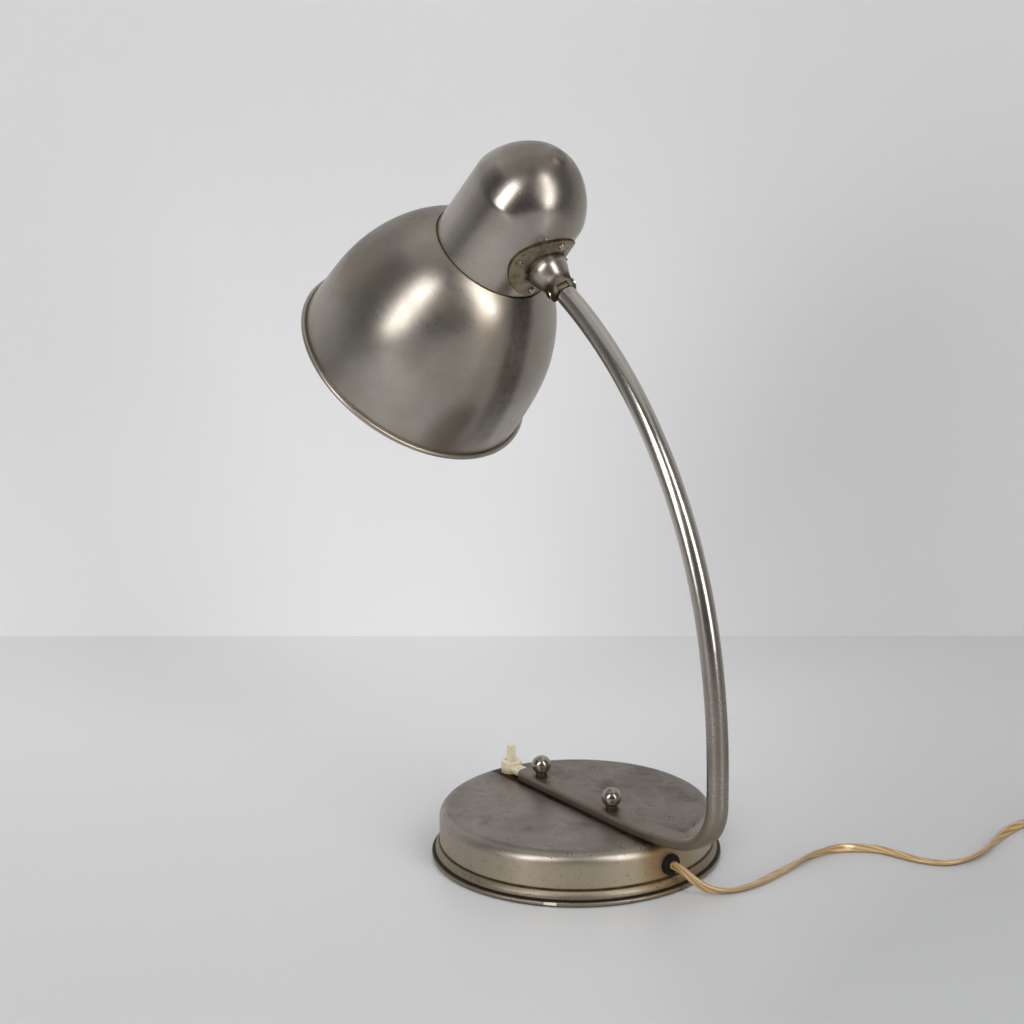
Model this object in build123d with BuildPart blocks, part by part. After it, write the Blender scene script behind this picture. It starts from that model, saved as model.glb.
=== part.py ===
# Desk lamp: a bell shade under a domed cap, held by a two-way knuckle on a bent tube arm.
# The arm is one tube, pressed flat where two ball nuts clamp it over a weighted round base.
# Millimetres, +Z up. The origin is the middle of the felt pad's underside, and the arm
# lies in the XZ plane, with its bend at +X and its head leaning back over the base.
from build123d import *
import math
import os

os.makedirs("parts", exist_ok=True)

# Base
rim_bead_radius = 1.8
rim_bead_height = 2.1
drum_radius = 84.9
drum_top = 31.6
drum_shoulder = 7.4
foot_flare = 2.7
rim_overhang = 2.4
foot_top = 9.0
foot_bottom = 3.4
foot_ledge = 0.95
foot_ledge_drop = 0.3
shell_wall = 1.2
felt_thickness = 1.5
felt_margin = 0.7
plate_thickness = 1.2
plate_clearance = 0.2
weight_radius = 54.0
weight_bottom = 12.0
weight_boss_radius = 9.0
weight_chamfer = 1.5
bottom_screw_radius = 2.0
bottom_screw_head_radius = 3.6
bottom_screw_length = 18.0

# Bar and arm tube
tube_diameter = 12.5
tube_wall = 1.0
bar_width = 15.2
bar_height = 6.4
bar_corner = 2.2
tube_corner_relief = 0.1
bar_left = -57.0
lift_radius = 309.0
lift_turn = 10.0
bend_radius = 32.0
leg_x = 134.7
leg_straight = 14.3
lower_radius = 381.0
lower_turn = 11.3
upper_radius = 280.4
upper_turn = 49.7
bend_sections = 6
bend_narrowing = 0.8
bend_rounding = 1.35

# Clamp studs and ball nuts
stud_spacing = 72.8
stud_radius = 2.0
stud_clearance = 0.2
stud_length = 38.5
stud_below_centre = 1.3
ball_radius = 6.1
ball_height = 45.8
ball_neck_radius = 3.6
washer_radius = 5.0
washer_thickness = 1.0
stud_nut_size = 7.0
stud_nut_height = 3.2

# Switch
switch_radius = 6.6
switch_neck_width = 9.0
switch_bottom_gap = 0.3
switch_rise = 1.5
switch_edge = 0.8
switch_tongue = 10.0
tongue_clearance = 0.1
lever_offset = 12.8
lever_width = 4.6
lever_depth = 4.4
lever_top_depth = 3.4
lever_height = 14.0
lever_eye_radius = 2.5
lever_clearance = 0.2
lever_slot_length = 8.0
lever_pin_height = 4.3
lever_pin_radius = 0.8
lever_pin_length = 11.0
terminal_radius = 0.9
terminal_length = 8.0
terminal_spacing = 6.2
wire_radius = 0.9

# Cable entry
wire_hole_inset = 15.2
wire_hole_radius = 4.0
grommet_angle = 4.3
grommet_height = 17.3
grommet_radius = 6.4
grommet_neck_radius = 5.0
grommet_proud = 2.8
grommet_inner = 1.5
grommet_edge = 1.4
grommet_lap = 0.5
base_lead_radius = 2.4
lead_clearance = 0.1
cord_stop_radius = 6.0
cord_stop_length = 5.0
base_lead_bends = [12.0, 8.0]
base_lead_straight = 12.0
arm_lead_radius = 1.4
lead_gap = 1.0

# Knuckle on the arm's tip
knuckle_roll = 25.0
shade_tilt = 15.5
eye_radius = 5.4
eye_half_width = 3.05
eye_cavity = 3.5
eye_cavity_height = 3.6
eye_slot_start = 0.6
cut_margin = 1.0
tip_gap = 7.0
neck_gap = 0.2
neck_half_height = 3.8
plug_depth = 12.0
plug_clearance = 0.05
plug_overlap = 1.0
washer_gap = 0.05
friction_thickness = 0.45
friction_radius = 4.6
cheek_gap = 3.6
cheek_radius = 5.6
barrel_half = 8.6
barrel_edge = 1.2
barrel_shoulder = 0.35
barrel_shoulder_height = 2.4
boss_radius = 12.3
boss_shoulder = 10.0
boss_shoulder_in = 1.0
boss_rim = 1.5
slot_clearance = 0.45
tilt_up_limit = 30.0
pivot_radius = 2.8
pivot_tip_radius = 1.6
pivot_tip_start = 1.9
pivot_step = 4.2
pivot_proud = 0.4
pivot_slot_width = 0.8
pivot_slot_depth = 0.9
pivot_slot_angle = 35.0
pin_clearance = 0.05
stem_radius = 4.9
stem_bore = 2.6
stem_clearance = 0.3

# Joint plate on the cap
cap_reach = 17.8
joint_plate_radius = 23.0
joint_plate_thickness = 1.2
joint_seat_height = 1.6
joint_seat_gap = 0.05
plate_screw_circle = 18.5
plate_screw_radius = 1.4
plate_screw_head = 2.3
plate_screw_head_height = 1.5
plate_screw_length = 6.5
plate_screw_lift = 0.25
plate_screw_taper = 18.0
saddle_radius = 21.5
saddle_flat = 29.0
foot_thickness = 2.0
foot_drop = 20.5
foot_half_width = 14.0
spring_thickness = 1.25
spring_radius = 8.0
swivel_nut_size = 15.0
swivel_nut_height = 3.0
stem_past_nut = 0.2

# Head, measured along its axis from the shade's mouth
head_turn = 32.5
plate_rise = 26.3
shade_mouth_radius = 79.8
shade_bead_radius = 1.6
shade_wall = 0.9
shade_edge_radius = 77.2
shade_low_radius = 75.9
shade_low_share = 0.2
shade_mid_radius = 73.3
shade_mid_share = 0.42
shade_high_radius = 65.8
shade_high_share = 0.65
shade_top_radius = 53.8
shade_top_share = 0.85
shade_neck_radius = 38.3
shade_length = 101.9
wall_points = 5
cap_gap = 0.2
cap_mouth_radius = 37.6
cap_shoulder_radius = 36.9
cap_shoulder_rise = 46.1
cap_height = 82.5
cap_wall = 0.9
dome_power = 1.227
dome_points = 5

# Lampholder and bulb
holder_lip = 5.9
holder_radius = 18.0
holder_wall = 0.8
holder_body_length = 42.4
holder_neck_radius = 7.0
holder_neck_length = 4.0
holder_curve_radius = 15.0
holder_curve_rise = 3.6
holder_dome_height = 9.0
holder_clearance = 0.1
ring_radius = 23.0
ring_thickness = 4.0
insert_depth = 30.0
insert_thickness = 12.0
insert_recess = 8.6
screw_shell_depth = 9.0
screw_shell_radius = 14.4
screw_shell_wall = 0.6
contact_radius = 2.5
nipple_radius = 5.0
nipple_bore = 3.2
nipple_grip = 4.4
nipple_length = 14.5
nipple_nut_size = 14.0
nipple_nut_height = 3.4
nipple_nut_gap = 0.2
bracket_half_width = 12.0
bracket_past_axis = 12.0
bulb_radius = 30.0
bulb_length = 77.0
bulb_shoulder_radius = 23.4
bulb_shoulder_rise = 21.0
bulb_neck_radius = 13.0
bulb_neck_length = 4.0
bulb_neck_depth = 12.0
bulb_glass_wall = 0.8
bulb_cap_radius = 13.3
bulb_cap_end = 4.0
bulb_cap_step = 1.0
bulb_cap_taper = 60.0
bulb_contact_recess = 8.0
head_lead_radius = 1.1
head_lead_offset = 34.5
head_lead_drop = 2.2
head_lead_bend = 2.4

# Cord, from the grommet over the table to a put-away coil and the plug
cord_radius = 2.8
cord_bend_share = 0.45
cord_exit_run = 4.6
cord_route = [
    (98.6, 10.2, 13.4),
    (105.5, 17.5, 7.6),
    (110.0, 32.0, 2.8),
    (110.6, 51.0, 2.8),
    (104.6, 77.0, 2.8),
    (98.2, 103.0, 2.8),
    (99.0, 128.0, 2.8),
    (113.0, 148.5, 2.8),
    (136.5, 154.0, 2.8),
    (155.5, 164.0, 2.8),
    (160.3, 187.0, 2.8),
    (150.0, 213.0, 2.8),
    (140.8, 238.0, 2.8),
    (138.2, 260.0, 3.0),
    (139.0, 279.0, 3.3),
]
coil_start_x = 139.0
coil_start_y = 296.0
coil_first_radius = 40.65
coil_height = 3.3
coil_pitch = 6.1
coil_layer = 6.1
coil_turns_in = 6
coil_turns_out = 7
tail_route = [(0.0, 11.0, 0.0), (1.0, 24.0, -2.55)]
tail_end = (1.0, 35.0, -2.55)
tie_thickness = 0.5
tie_width = 7.0
tie_clearance = 0.4
tie_corner = 1.5
plug_width = 32.0
plug_back_width = 19.2
plug_thickness = 13.6
plug_length = 30.0
plug_fillet = 4.0
plug_neck_length = 9.0
plug_neck_radius = 4.2
plug_overlap_length = 1.0
plug_pin_radius = 2.0
plug_pin_length = 19.0
plug_pin_seat = 6.0
plug_pin_spacing = 18.6
plug_pin_round = 1.2


# Worked out from the values above
shell_inside_top = drum_top - shell_wall
bottom_plate_top = felt_thickness + plate_thickness
bar_middle = drum_top + bar_height / 2
bar_top = drum_top + bar_height
bar_start = bar_left + bar_width / 2
switch_x = bar_left - lever_offset
switch_bottom = drum_top + switch_bottom_gap
stud_places = [-stud_spacing / 2, stud_spacing / 2]
foot_radius = drum_radius + foot_flare
rim_radius = foot_radius + rim_overhang
plate_station = shade_length + plate_rise
cap_shoulder_station = shade_length + cap_shoulder_rise
cap_length = shade_length + cap_height
holder_mouth = shade_length - holder_lip
holder_shoulder_station = holder_mouth + holder_body_length
holder_top = holder_shoulder_station + holder_dome_height
insert_bottom = holder_mouth + insert_depth
screw_shell_start = holder_mouth + screw_shell_depth
nipple_bottom = holder_top - nipple_grip
bracket_station = holder_top + nipple_nut_height + nipple_nut_gap
bulb_neck_station = holder_mouth + bulb_neck_depth
bulb_tip = bulb_neck_station - bulb_length
bulb_contact_station = insert_bottom + bulb_contact_recess
head_lead_station = holder_top - head_lead_drop
stud_bottom = ball_height - stud_below_centre - stud_length
tube_corner = tube_diameter / 2 - tube_corner_relief


def along_arc(point, heading, radius, turn):
    """Where a left-hand arc in the XZ plane ends."""
    start = math.radians(heading)
    end = math.radians(heading + turn)
    x = point[0] + radius * (math.sin(end) - math.sin(start))
    z = point[1] + radius * (math.cos(start) - math.cos(end))
    return (x, z)


lift_sine = math.sin(math.radians(lift_turn))
lift_start = (leg_x - bend_radius + (bend_radius - lift_radius) * lift_sine, bar_middle)
lift_end = along_arc(lift_start, 0, lift_radius, lift_turn)
bend_end = along_arc(lift_end, lift_turn, bend_radius, 90 - lift_turn)
leg_end = (bend_end[0], bend_end[1] + leg_straight)
lower_end = along_arc(leg_end, 90, lower_radius, lower_turn)
tip_heading = 90 + lower_turn + upper_turn
tube_turn = upper_turn - math.degrees(tip_gap / upper_radius)
lead_turn = upper_turn - math.degrees(lead_gap / upper_radius)
knuckle_point = along_arc(lower_end, 90 + lower_turn, upper_radius, upper_turn)

# Knuckle directions: along the tip, along the hinge, along the boss and up the head's axis
joint = Vector(knuckle_point[0], 0, knuckle_point[1])
tip_dir = Vector(math.cos(math.radians(tip_heading)), 0, math.sin(math.radians(tip_heading)))
hinge_dir = Vector(0, 1, 0).rotate(Axis((0, 0, 0), tip_dir), -knuckle_roll)
boss_dir = tip_dir.rotate(Axis((0, 0, 0), hinge_dir), shade_tilt)
head_dir = hinge_dir.cross(boss_dir).rotate(Axis((0, 0, 0), boss_dir), head_turn)
cap_slope = (cap_mouth_radius - cap_shoulder_radius) / (cap_shoulder_station - shade_length - cap_gap)
cap_radius = cap_mouth_radius - cap_slope * (plate_station - shade_length - cap_gap)
mouth = joint + boss_dir * (cap_reach + cap_radius) - head_dir * plate_station
head_axis = Axis(mouth, head_dir)
head_profile = Plane(origin=mouth, x_dir=-boss_dir, z_dir=head_dir.cross(boss_dir))
seat_reach = cap_reach - joint_seat_height
wire_hole_x = drum_radius - shell_wall - grommet_inner - cord_stop_length - wire_hole_inset
neck_sweep = neck_half_height / math.cos(math.radians(shade_tilt + tilt_up_limit))
slot_radius = max(eye_radius, neck_sweep) + slot_clearance
foot_reach = cap_reach + cap_radius - saddle_flat
spring_reach = foot_reach + foot_thickness + washer_gap
nut_reach = spring_reach + spring_thickness
stem_reach = nut_reach + swivel_nut_height + stem_past_nut


def arm_place(distance):
    """The point and heading on the upper arm, a distance before the hinge."""
    turn = upper_turn - math.degrees(distance / upper_radius)
    heading = 90 + lower_turn
    return along_arc(lower_end, heading, upper_radius, turn), heading + turn


def boss_plane(distance):
    """Square to the boss, a distance from the hinge towards the head."""
    return Plane(origin=joint + boss_dir * distance, x_dir=head_dir, z_dir=boss_dir)


def fork_plane(distance):
    """Square to the boss, with X along the hinge."""
    return Plane(origin=joint + boss_dir * distance, x_dir=hinge_dir, z_dir=boss_dir)


def hinge_plane(offset, x_dir):
    """Square to the hinge, an offset along it."""
    return Plane(origin=joint + hinge_dir * offset, x_dir=x_dir, z_dir=hinge_dir)


def head_plane(station):
    """Square to the head's axis, with X towards the arm."""
    return Plane(origin=mouth + head_dir * station, x_dir=-boss_dir, z_dir=head_dir)


def bar_plane(x):
    """Square to the bar."""
    return Plane(origin=(x, 0, bar_middle), x_dir=(0, 1, 0), z_dir=(1, 0, 0))


def screw_planes():
    """The four plate screws, each on the plate's surface and facing outwards."""
    surface = cap_radius + joint_plate_thickness
    swing = math.degrees(math.asin(plate_screw_circle / cap_radius))
    planes = []
    for shift in (-plate_screw_circle, plate_screw_circle):
        place = mouth + head_dir * (plate_station + shift)
        radius = surface - cap_slope * shift
        planes.append(Plane(origin=place - boss_dir * radius, x_dir=head_dir, z_dir=-boss_dir))
    for angle in (-swing, swing):
        outward = (-boss_dir).rotate(Axis((0, 0, 0), head_dir), angle)
        place = mouth + head_dir * plate_station + outward * surface
        planes.append(Plane(origin=place, x_dir=head_dir, z_dir=outward))
    return planes


def smooth(share):
    """Ease from 0 to 1 with flat ends."""
    return share * share * (3 - 2 * share)


def save(piece, name):
    """Label a finished piece and write its file."""
    piece.part.label = name
    export_step(piece.part, f"parts/{name}.step")


# Base
def make_base_shell():
    ledge = (drum_radius + foot_ledge, foot_top - foot_ledge_drop)
    with BuildPart() as base_shell:
        with BuildSketch(Plane.XZ):
            with BuildLine():
                Polyline((0, shell_inside_top), (0, drum_top), (drum_radius - drum_shoulder, drum_top))
                RadiusArc(
                    (drum_radius - drum_shoulder, drum_top),
                    (drum_radius, drum_top - drum_shoulder),
                    drum_shoulder,
                )
                Line((drum_radius, drum_top - drum_shoulder), (drum_radius, foot_top))
                Line((drum_radius, foot_top), ledge)
                RadiusArc(ledge, (foot_radius, foot_bottom), foot_top - foot_bottom)
                Line((foot_radius, foot_bottom), (foot_radius - shell_wall, foot_bottom))
                RadiusArc(
                    (foot_radius - shell_wall, foot_bottom),
                    (drum_radius - shell_wall, foot_top - shell_wall),
                    shell_wall - foot_top + foot_bottom,
                )
                Line(
                    (drum_radius - shell_wall, foot_top - shell_wall),
                    (drum_radius - shell_wall, drum_top - drum_shoulder),
                )
                RadiusArc(
                    (drum_radius - shell_wall, drum_top - drum_shoulder),
                    (drum_radius - drum_shoulder, shell_inside_top),
                    shell_wall - drum_shoulder,
                )
                Line((drum_radius - drum_shoulder, shell_inside_top), (0, shell_inside_top))
            make_face()
            with Locations((rim_radius - rim_bead_radius, rim_bead_height)):
                Circle(rim_bead_radius)
        revolve(axis=Axis.Z)
        with BuildSketch(Plane.XY.offset(drum_top)):
            with Locations([(x, 0) for x in stud_places]):
                Circle(stud_radius + stud_clearance)
            with Locations((wire_hole_x, 0)):
                Circle(wire_hole_radius)
        extrude(amount=-2 * shell_wall, mode=Mode.SUBTRACT)
        with BuildSketch(grommet_plane(drum_radius - 2 * shell_wall)):
            Circle(grommet_neck_radius)
        extrude(amount=4 * shell_wall, mode=Mode.SUBTRACT)
    save(base_shell, "base_shell")


def grommet_plane(radius):
    """Faces outwards at the grommet, a radius from the lamp's middle."""
    turn = math.radians(grommet_angle)
    outward = Vector(math.cos(turn), math.sin(turn), 0)
    return Plane(origin=outward * radius + Vector(0, 0, grommet_height), x_dir=(0, 0, 1), z_dir=outward)


def make_base_weight():
    with BuildPart() as base_weight:
        with BuildSketch(Plane.XY.offset(weight_bottom)):
            Circle(weight_radius)
        extrude(amount=shell_inside_top - weight_bottom)
        chamfer(base_weight.edges().filter_by(GeomType.CIRCLE), weight_chamfer)
        with BuildSketch(Plane.XY.offset(bottom_plate_top)):
            Circle(weight_boss_radius)
        extrude(amount=weight_bottom - bottom_plate_top)
        with BuildSketch(Plane.XY.offset(bottom_plate_top)):
            Circle(bottom_screw_radius)
        extrude(amount=bottom_screw_length, mode=Mode.SUBTRACT)
        with BuildSketch(Plane.XY.offset(weight_bottom)):
            with Locations([(x, 0) for x in stud_places]):
                Circle(stud_radius + stud_clearance)
        extrude(amount=shell_inside_top - weight_bottom, mode=Mode.SUBTRACT)
    save(base_weight, "base_weight")


def make_bottom_plate():
    with BuildPart() as bottom_plate:
        with BuildSketch(Plane.XY.offset(felt_thickness)):
            Circle(rim_radius - 2 * rim_bead_radius - plate_clearance)
        extrude(amount=plate_thickness)
        with BuildSketch(Plane.XZ):
            Polygon(*bottom_screw_outline(), align=None)
        revolve(axis=Axis.Z, mode=Mode.SUBTRACT)
    save(bottom_plate, "bottom_plate")


def bottom_screw_outline():
    """Half of the countersunk bottom screw."""
    top = felt_thickness + bottom_screw_length
    return [
        (0, felt_thickness),
        (bottom_screw_head_radius, felt_thickness),
        (bottom_screw_radius, bottom_plate_top),
        (bottom_screw_radius, top),
        (0, top),
    ]


def make_felt_pad():
    with BuildPart() as felt_pad:
        with BuildSketch():
            Circle(rim_radius - 2 * rim_bead_radius - plate_clearance - felt_margin)
        extrude(amount=felt_thickness)
    save(felt_pad, "felt_pad")


def make_bottom_screw():
    with BuildPart() as bottom_screw:
        with BuildSketch(Plane.XZ):
            Polygon(*bottom_screw_outline(), align=None)
        revolve(axis=Axis.Z)
    save(bottom_screw, "bottom_screw")


# Clamp studs and ball nuts
def make_clamp_studs():
    with BuildPart() as clamp_studs:
        with BuildSketch(Plane.XY.offset(stud_bottom)):
            with Locations([(x, 0) for x in stud_places]):
                Circle(stud_radius)
        extrude(amount=stud_length)
    save(clamp_studs, "clamp_studs")


def make_ball_nuts():
    with BuildPart() as ball_nuts:
        for x in stud_places:
            with Locations((x, 0, ball_height)):
                Sphere(ball_radius)
            with BuildSketch(Plane.XY.offset(bar_top)):
                with Locations((x, 0)):
                    Circle(ball_neck_radius)
            extrude(amount=ball_height - bar_top)
            with BuildSketch(Plane.XY.offset(bar_top)):
                with Locations((x, 0)):
                    Circle(stud_radius)
            extrude(amount=stud_bottom + stud_length - bar_top, mode=Mode.SUBTRACT)
    save(ball_nuts, "ball_nuts")


def make_stud_washers():
    with BuildPart() as stud_washers:
        with BuildSketch(Plane.XY.offset(weight_bottom - washer_thickness)):
            with Locations([(x, 0) for x in stud_places]):
                Circle(washer_radius)
                Circle(stud_radius + stud_clearance, mode=Mode.SUBTRACT)
        extrude(amount=washer_thickness)
    save(stud_washers, "stud_washers")


def make_stud_nuts():
    with BuildPart() as stud_nuts:
        with BuildSketch(Plane.XY.offset(weight_bottom - washer_thickness - stud_nut_height)):
            with Locations([(x, 0) for x in stud_places]):
                RegularPolygon(stud_nut_size / 2, 6, major_radius=False)
                Circle(stud_radius, mode=Mode.SUBTRACT)
        extrude(amount=stud_nut_height)
    save(stud_nuts, "stud_nuts")


# Arm tube
def bend_plane(share):
    """Square to the tube, a share of the way round the bend."""
    turn = 90 - lift_turn
    place = along_arc(lift_end, lift_turn, bend_radius, turn * share)
    heading = math.radians(lift_turn + turn * share)
    forward = (math.cos(heading), 0, math.sin(heading))
    return Plane(origin=(place[0], 0, place[1]), x_dir=(0, 1, 0), z_dir=forward)


def tube_section(share, inset):
    """The tube's outline from the flat bar, share 0, to the round arm, share 1."""
    width = bar_width + (tube_diameter - bar_width) * smooth(share**bend_narrowing)
    height = bar_height + (tube_diameter - bar_height) * smooth(share**bend_rounding)
    flat = (bar_height / 2 - bar_corner) * (1 - share) + (tube_diameter / 2 - tube_corner) * share
    corner = height / 2 - flat
    RectangleRounded(width - 2 * inset, height - 2 * inset, corner - inset)


def switch_neck(inset):
    """The outline of the switch's neck, in the bar's end."""
    neck_height = bar_height - 2 * (tube_wall + inset)
    RectangleRounded(switch_neck_width - 2 * inset, neck_height, bar_corner - tube_wall)


def bar_nose(inset, mode):
    """One skin of the bar's round end, which is the bar's section turned half round."""
    with BuildSketch(Plane(origin=(bar_start, 0, bar_middle), x_dir=(1, 0, 0), z_dir=(0, -1, 0))) as nose:
        RectangleRounded(bar_width - 2 * inset, bar_height - 2 * inset, bar_corner - inset)
        with Locations((-bar_width, 0)):
            Rectangle(2 * bar_width, 2 * bar_height, mode=Mode.SUBTRACT)
    revolve(nose.sketch, axis=Axis((bar_start, 0, 0), (0, 0, 1)), mode=mode)


def tube_body(inset, mode):
    """One skin of the tube: the flat bar, the bend and the bowed arm."""
    with BuildLine(Plane.XZ) as bar_path:
        Line((bar_start, bar_middle), lift_start)
        JernArc(start=lift_start, tangent=(1, 0), radius=lift_radius, arc_size=lift_turn)
    with BuildSketch(bar_plane(bar_start)) as bar_end:
        tube_section(0, inset)
    sweep(bar_end.sketch, path=bar_path.wires()[0], mode=mode)
    sections = []
    for step in range(bend_sections + 1):
        with BuildSketch(bend_plane(step / bend_sections)) as section:
            tube_section(step / bend_sections, inset)
        sections.append(section.sketch)
    loft(sections, mode=mode)
    with BuildLine(Plane.XZ) as arm_path:
        Line(bend_end, leg_end)
        JernArc(start=leg_end, tangent=(0, 1), radius=lower_radius, arc_size=lower_turn)
        tangent = (-math.sin(math.radians(lower_turn)), math.cos(math.radians(lower_turn)))
        JernArc(start=lower_end, tangent=tangent, radius=upper_radius, arc_size=tube_turn)
    with BuildSketch(bend_plane(1)) as arm_end:
        tube_section(1, inset)
    sweep(arm_end.sketch, path=arm_path.wires()[0], mode=mode)


def make_arm_tube():
    with BuildPart() as arm_tube:
        bar_nose(0, Mode.ADD)
        tube_body(0, Mode.ADD)
        bar_nose(tube_wall, Mode.SUBTRACT)
        tube_body(tube_wall, Mode.SUBTRACT)
        with BuildSketch(bar_plane(bar_left - cut_margin)):
            switch_neck(0)
        extrude(amount=bar_start - bar_left, mode=Mode.SUBTRACT)
        with BuildSketch(Plane.XY.offset(drum_top)):
            with Locations([(x, 0) for x in stud_places]):
                Circle(stud_radius + stud_clearance)
        extrude(amount=bar_height, mode=Mode.SUBTRACT)
        with BuildSketch(Plane.XY.offset(drum_top - tube_wall)):
            with Locations((wire_hole_x, 0)):
                Circle(wire_hole_radius)
        extrude(amount=3 * tube_wall, mode=Mode.SUBTRACT)
    save(arm_tube, "arm_tube")


# Switch in the bar's end
def make_switch_block():
    height = bar_height + switch_rise - switch_bottom_gap
    with BuildPart() as switch_block:
        with BuildSketch(Plane.XY.offset(switch_bottom)):
            with Locations((switch_x, 0)):
                Circle(switch_radius)
        extrude(amount=height)
        fillet(switch_block.faces().sort_by(Axis.Z)[-1].edges(), switch_edge)
        with BuildSketch(bar_plane(switch_x)):
            switch_neck(tongue_clearance)
        extrude(amount=lever_offset + switch_tongue)
        slot_bottom = switch_bottom + lever_pin_height - lever_eye_radius - lever_clearance
        with BuildSketch(Plane.XY.offset(slot_bottom)):
            with Locations((switch_x, 0)):
                Rectangle(lever_slot_length, lever_width + 2 * lever_clearance)
        extrude(amount=height, mode=Mode.SUBTRACT)
        with BuildSketch(Plane.XZ.offset(-lever_pin_length / 2)):
            with Locations((switch_x, switch_bottom + lever_pin_height)):
                Circle(lever_pin_radius)
        extrude(amount=lever_pin_length, mode=Mode.SUBTRACT)
        with BuildSketch(bar_plane(bar_left + switch_tongue)):
            with Locations((-terminal_spacing / 2, 0), (terminal_spacing / 2, 0)):
                Circle(terminal_radius)
        extrude(amount=-terminal_length, mode=Mode.SUBTRACT)
    save(switch_block, "switch_block")


def make_switch_lever():
    pin_height = switch_bottom + lever_pin_height
    with BuildPart() as switch_lever:
        with BuildSketch(Plane.XZ.offset(-lever_width / 2)):
            with BuildLine():
                Polyline(
                    (switch_x - lever_depth / 2, pin_height),
                    (switch_x + lever_depth / 2, pin_height),
                    (switch_x + lever_top_depth / 2, pin_height + lever_height),
                    (switch_x - lever_top_depth / 2, pin_height + lever_height),
                    close=True,
                )
            make_face()
            with Locations((switch_x, pin_height)):
                Circle(lever_eye_radius)
                Circle(lever_pin_radius + pin_clearance, mode=Mode.SUBTRACT)
        extrude(amount=lever_width)
        fillet(switch_lever.faces().sort_by(Axis.Z)[-1].edges(), switch_edge)
    save(switch_lever, "switch_lever")


def make_lever_pin():
    with BuildPart() as lever_pin:
        with BuildSketch(Plane.XZ.offset(-lever_pin_length / 2)):
            with Locations((switch_x, switch_bottom + lever_pin_height)):
                Circle(lever_pin_radius)
        extrude(amount=lever_pin_length)
    save(lever_pin, "lever_pin")


def make_switch_terminals():
    with BuildPart() as switch_terminals:
        with BuildSketch(bar_plane(bar_left + switch_tongue)):
            with Locations((-terminal_spacing / 2, 0), (terminal_spacing / 2, 0)):
                Circle(terminal_radius)
        extrude(amount=-terminal_length)
    save(switch_terminals, "switch_terminals")


def make_switch_leads():
    start = bar_left + switch_tongue
    end = wire_hole_x - base_lead_radius
    with BuildPart() as switch_leads:
        with BuildSketch(bar_plane(start)):
            with Locations((-terminal_spacing / 2, 0), (terminal_spacing / 2, 0)):
                Circle(wire_radius)
        extrude(amount=end - start)
    save(switch_leads, "switch_leads")


# Cable entry and inside leads
def make_cable_grommet():
    with BuildPart() as cable_grommet:
        with BuildSketch(grommet_plane(drum_radius - shell_wall - grommet_inner)):
            Circle(grommet_radius)
        extrude(amount=grommet_inner + shell_wall + grommet_proud)
        fillet(cable_grommet.edges().filter_by(GeomType.CIRCLE).sort_by(Axis.X)[-1], grommet_edge)
        with BuildSketch(Plane.XY.offset(grommet_height - grommet_radius)):
            Circle(drum_radius)
            Circle(drum_radius - shell_wall, mode=Mode.SUBTRACT)
        extrude(amount=2 * grommet_radius, mode=Mode.SUBTRACT)
        with BuildSketch(grommet_plane(drum_radius - shell_wall - grommet_lap)):
            Circle(grommet_neck_radius)
        extrude(amount=shell_wall + 2 * grommet_lap)
        with BuildSketch(grommet_plane(drum_radius - shell_wall - grommet_inner)):
            Circle(base_lead_radius + lead_clearance)
        extrude(amount=grommet_inner + shell_wall + grommet_proud, mode=Mode.SUBTRACT)
    save(cable_grommet, "cable_grommet")


def base_lead_points():
    """From the grommet's mouth inwards, then straight up into the bar."""
    outer = grommet_plane(drum_radius + grommet_proud).origin
    inner = grommet_plane(wire_hole_x + base_lead_straight).origin
    return [
        outer,
        inner,
        Vector(wire_hole_x, 0, grommet_height),
        Vector(wire_hole_x, 0, bar_top - tube_wall - lead_clearance),
    ]


def make_base_lead():
    points = base_lead_points()
    with BuildPart() as base_lead:
        with BuildLine() as path:
            FilletPolyline(*points, radius=base_lead_bends)
        with BuildSketch(grommet_plane(drum_radius + grommet_proud)):
            Circle(base_lead_radius)
        sweep(path=path.wires()[0])
    save(base_lead, "base_lead")


def make_cord_stop():
    with BuildPart() as cord_stop:
        with BuildSketch(grommet_plane(drum_radius - shell_wall - grommet_inner)):
            Circle(cord_stop_radius)
            Circle(base_lead_radius + lead_clearance, mode=Mode.SUBTRACT)
        extrude(amount=-cord_stop_length)
    save(cord_stop, "cord_stop")


def make_arm_lead():
    start = (wire_hole_x + base_lead_radius + lead_clearance, bar_middle)
    tangent = (-math.sin(math.radians(lower_turn)), math.cos(math.radians(lower_turn)))
    slope = math.asin((start[0] - lift_start[0]) / lift_radius)
    rise = lift_radius * (1 - math.cos(slope))
    with BuildPart() as arm_lead:
        with BuildLine(Plane.XZ) as path:
            JernArc(
                start=(start[0], start[1] + rise),
                tangent=(math.cos(slope), math.sin(slope)),
                radius=lift_radius,
                arc_size=lift_turn - math.degrees(slope),
            )
            JernArc(
                start=lift_end,
                tangent=(math.cos(math.radians(lift_turn)), math.sin(math.radians(lift_turn))),
                radius=bend_radius,
                arc_size=90 - lift_turn,
            )
            Line(bend_end, leg_end)
            JernArc(start=leg_end, tangent=(0, 1), radius=lower_radius, arc_size=lower_turn)
            JernArc(start=lower_end, tangent=tangent, radius=upper_radius, arc_size=lead_turn)
        forward = (math.cos(slope), 0, math.sin(slope))
        first = Plane(origin=(start[0], 0, start[1] + rise), x_dir=(0, 1, 0), z_dir=forward)
        with BuildSketch(first):
            Circle(arm_lead_radius)
        sweep(path=path.wires()[0])
    save(arm_lead, "arm_lead")


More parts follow.
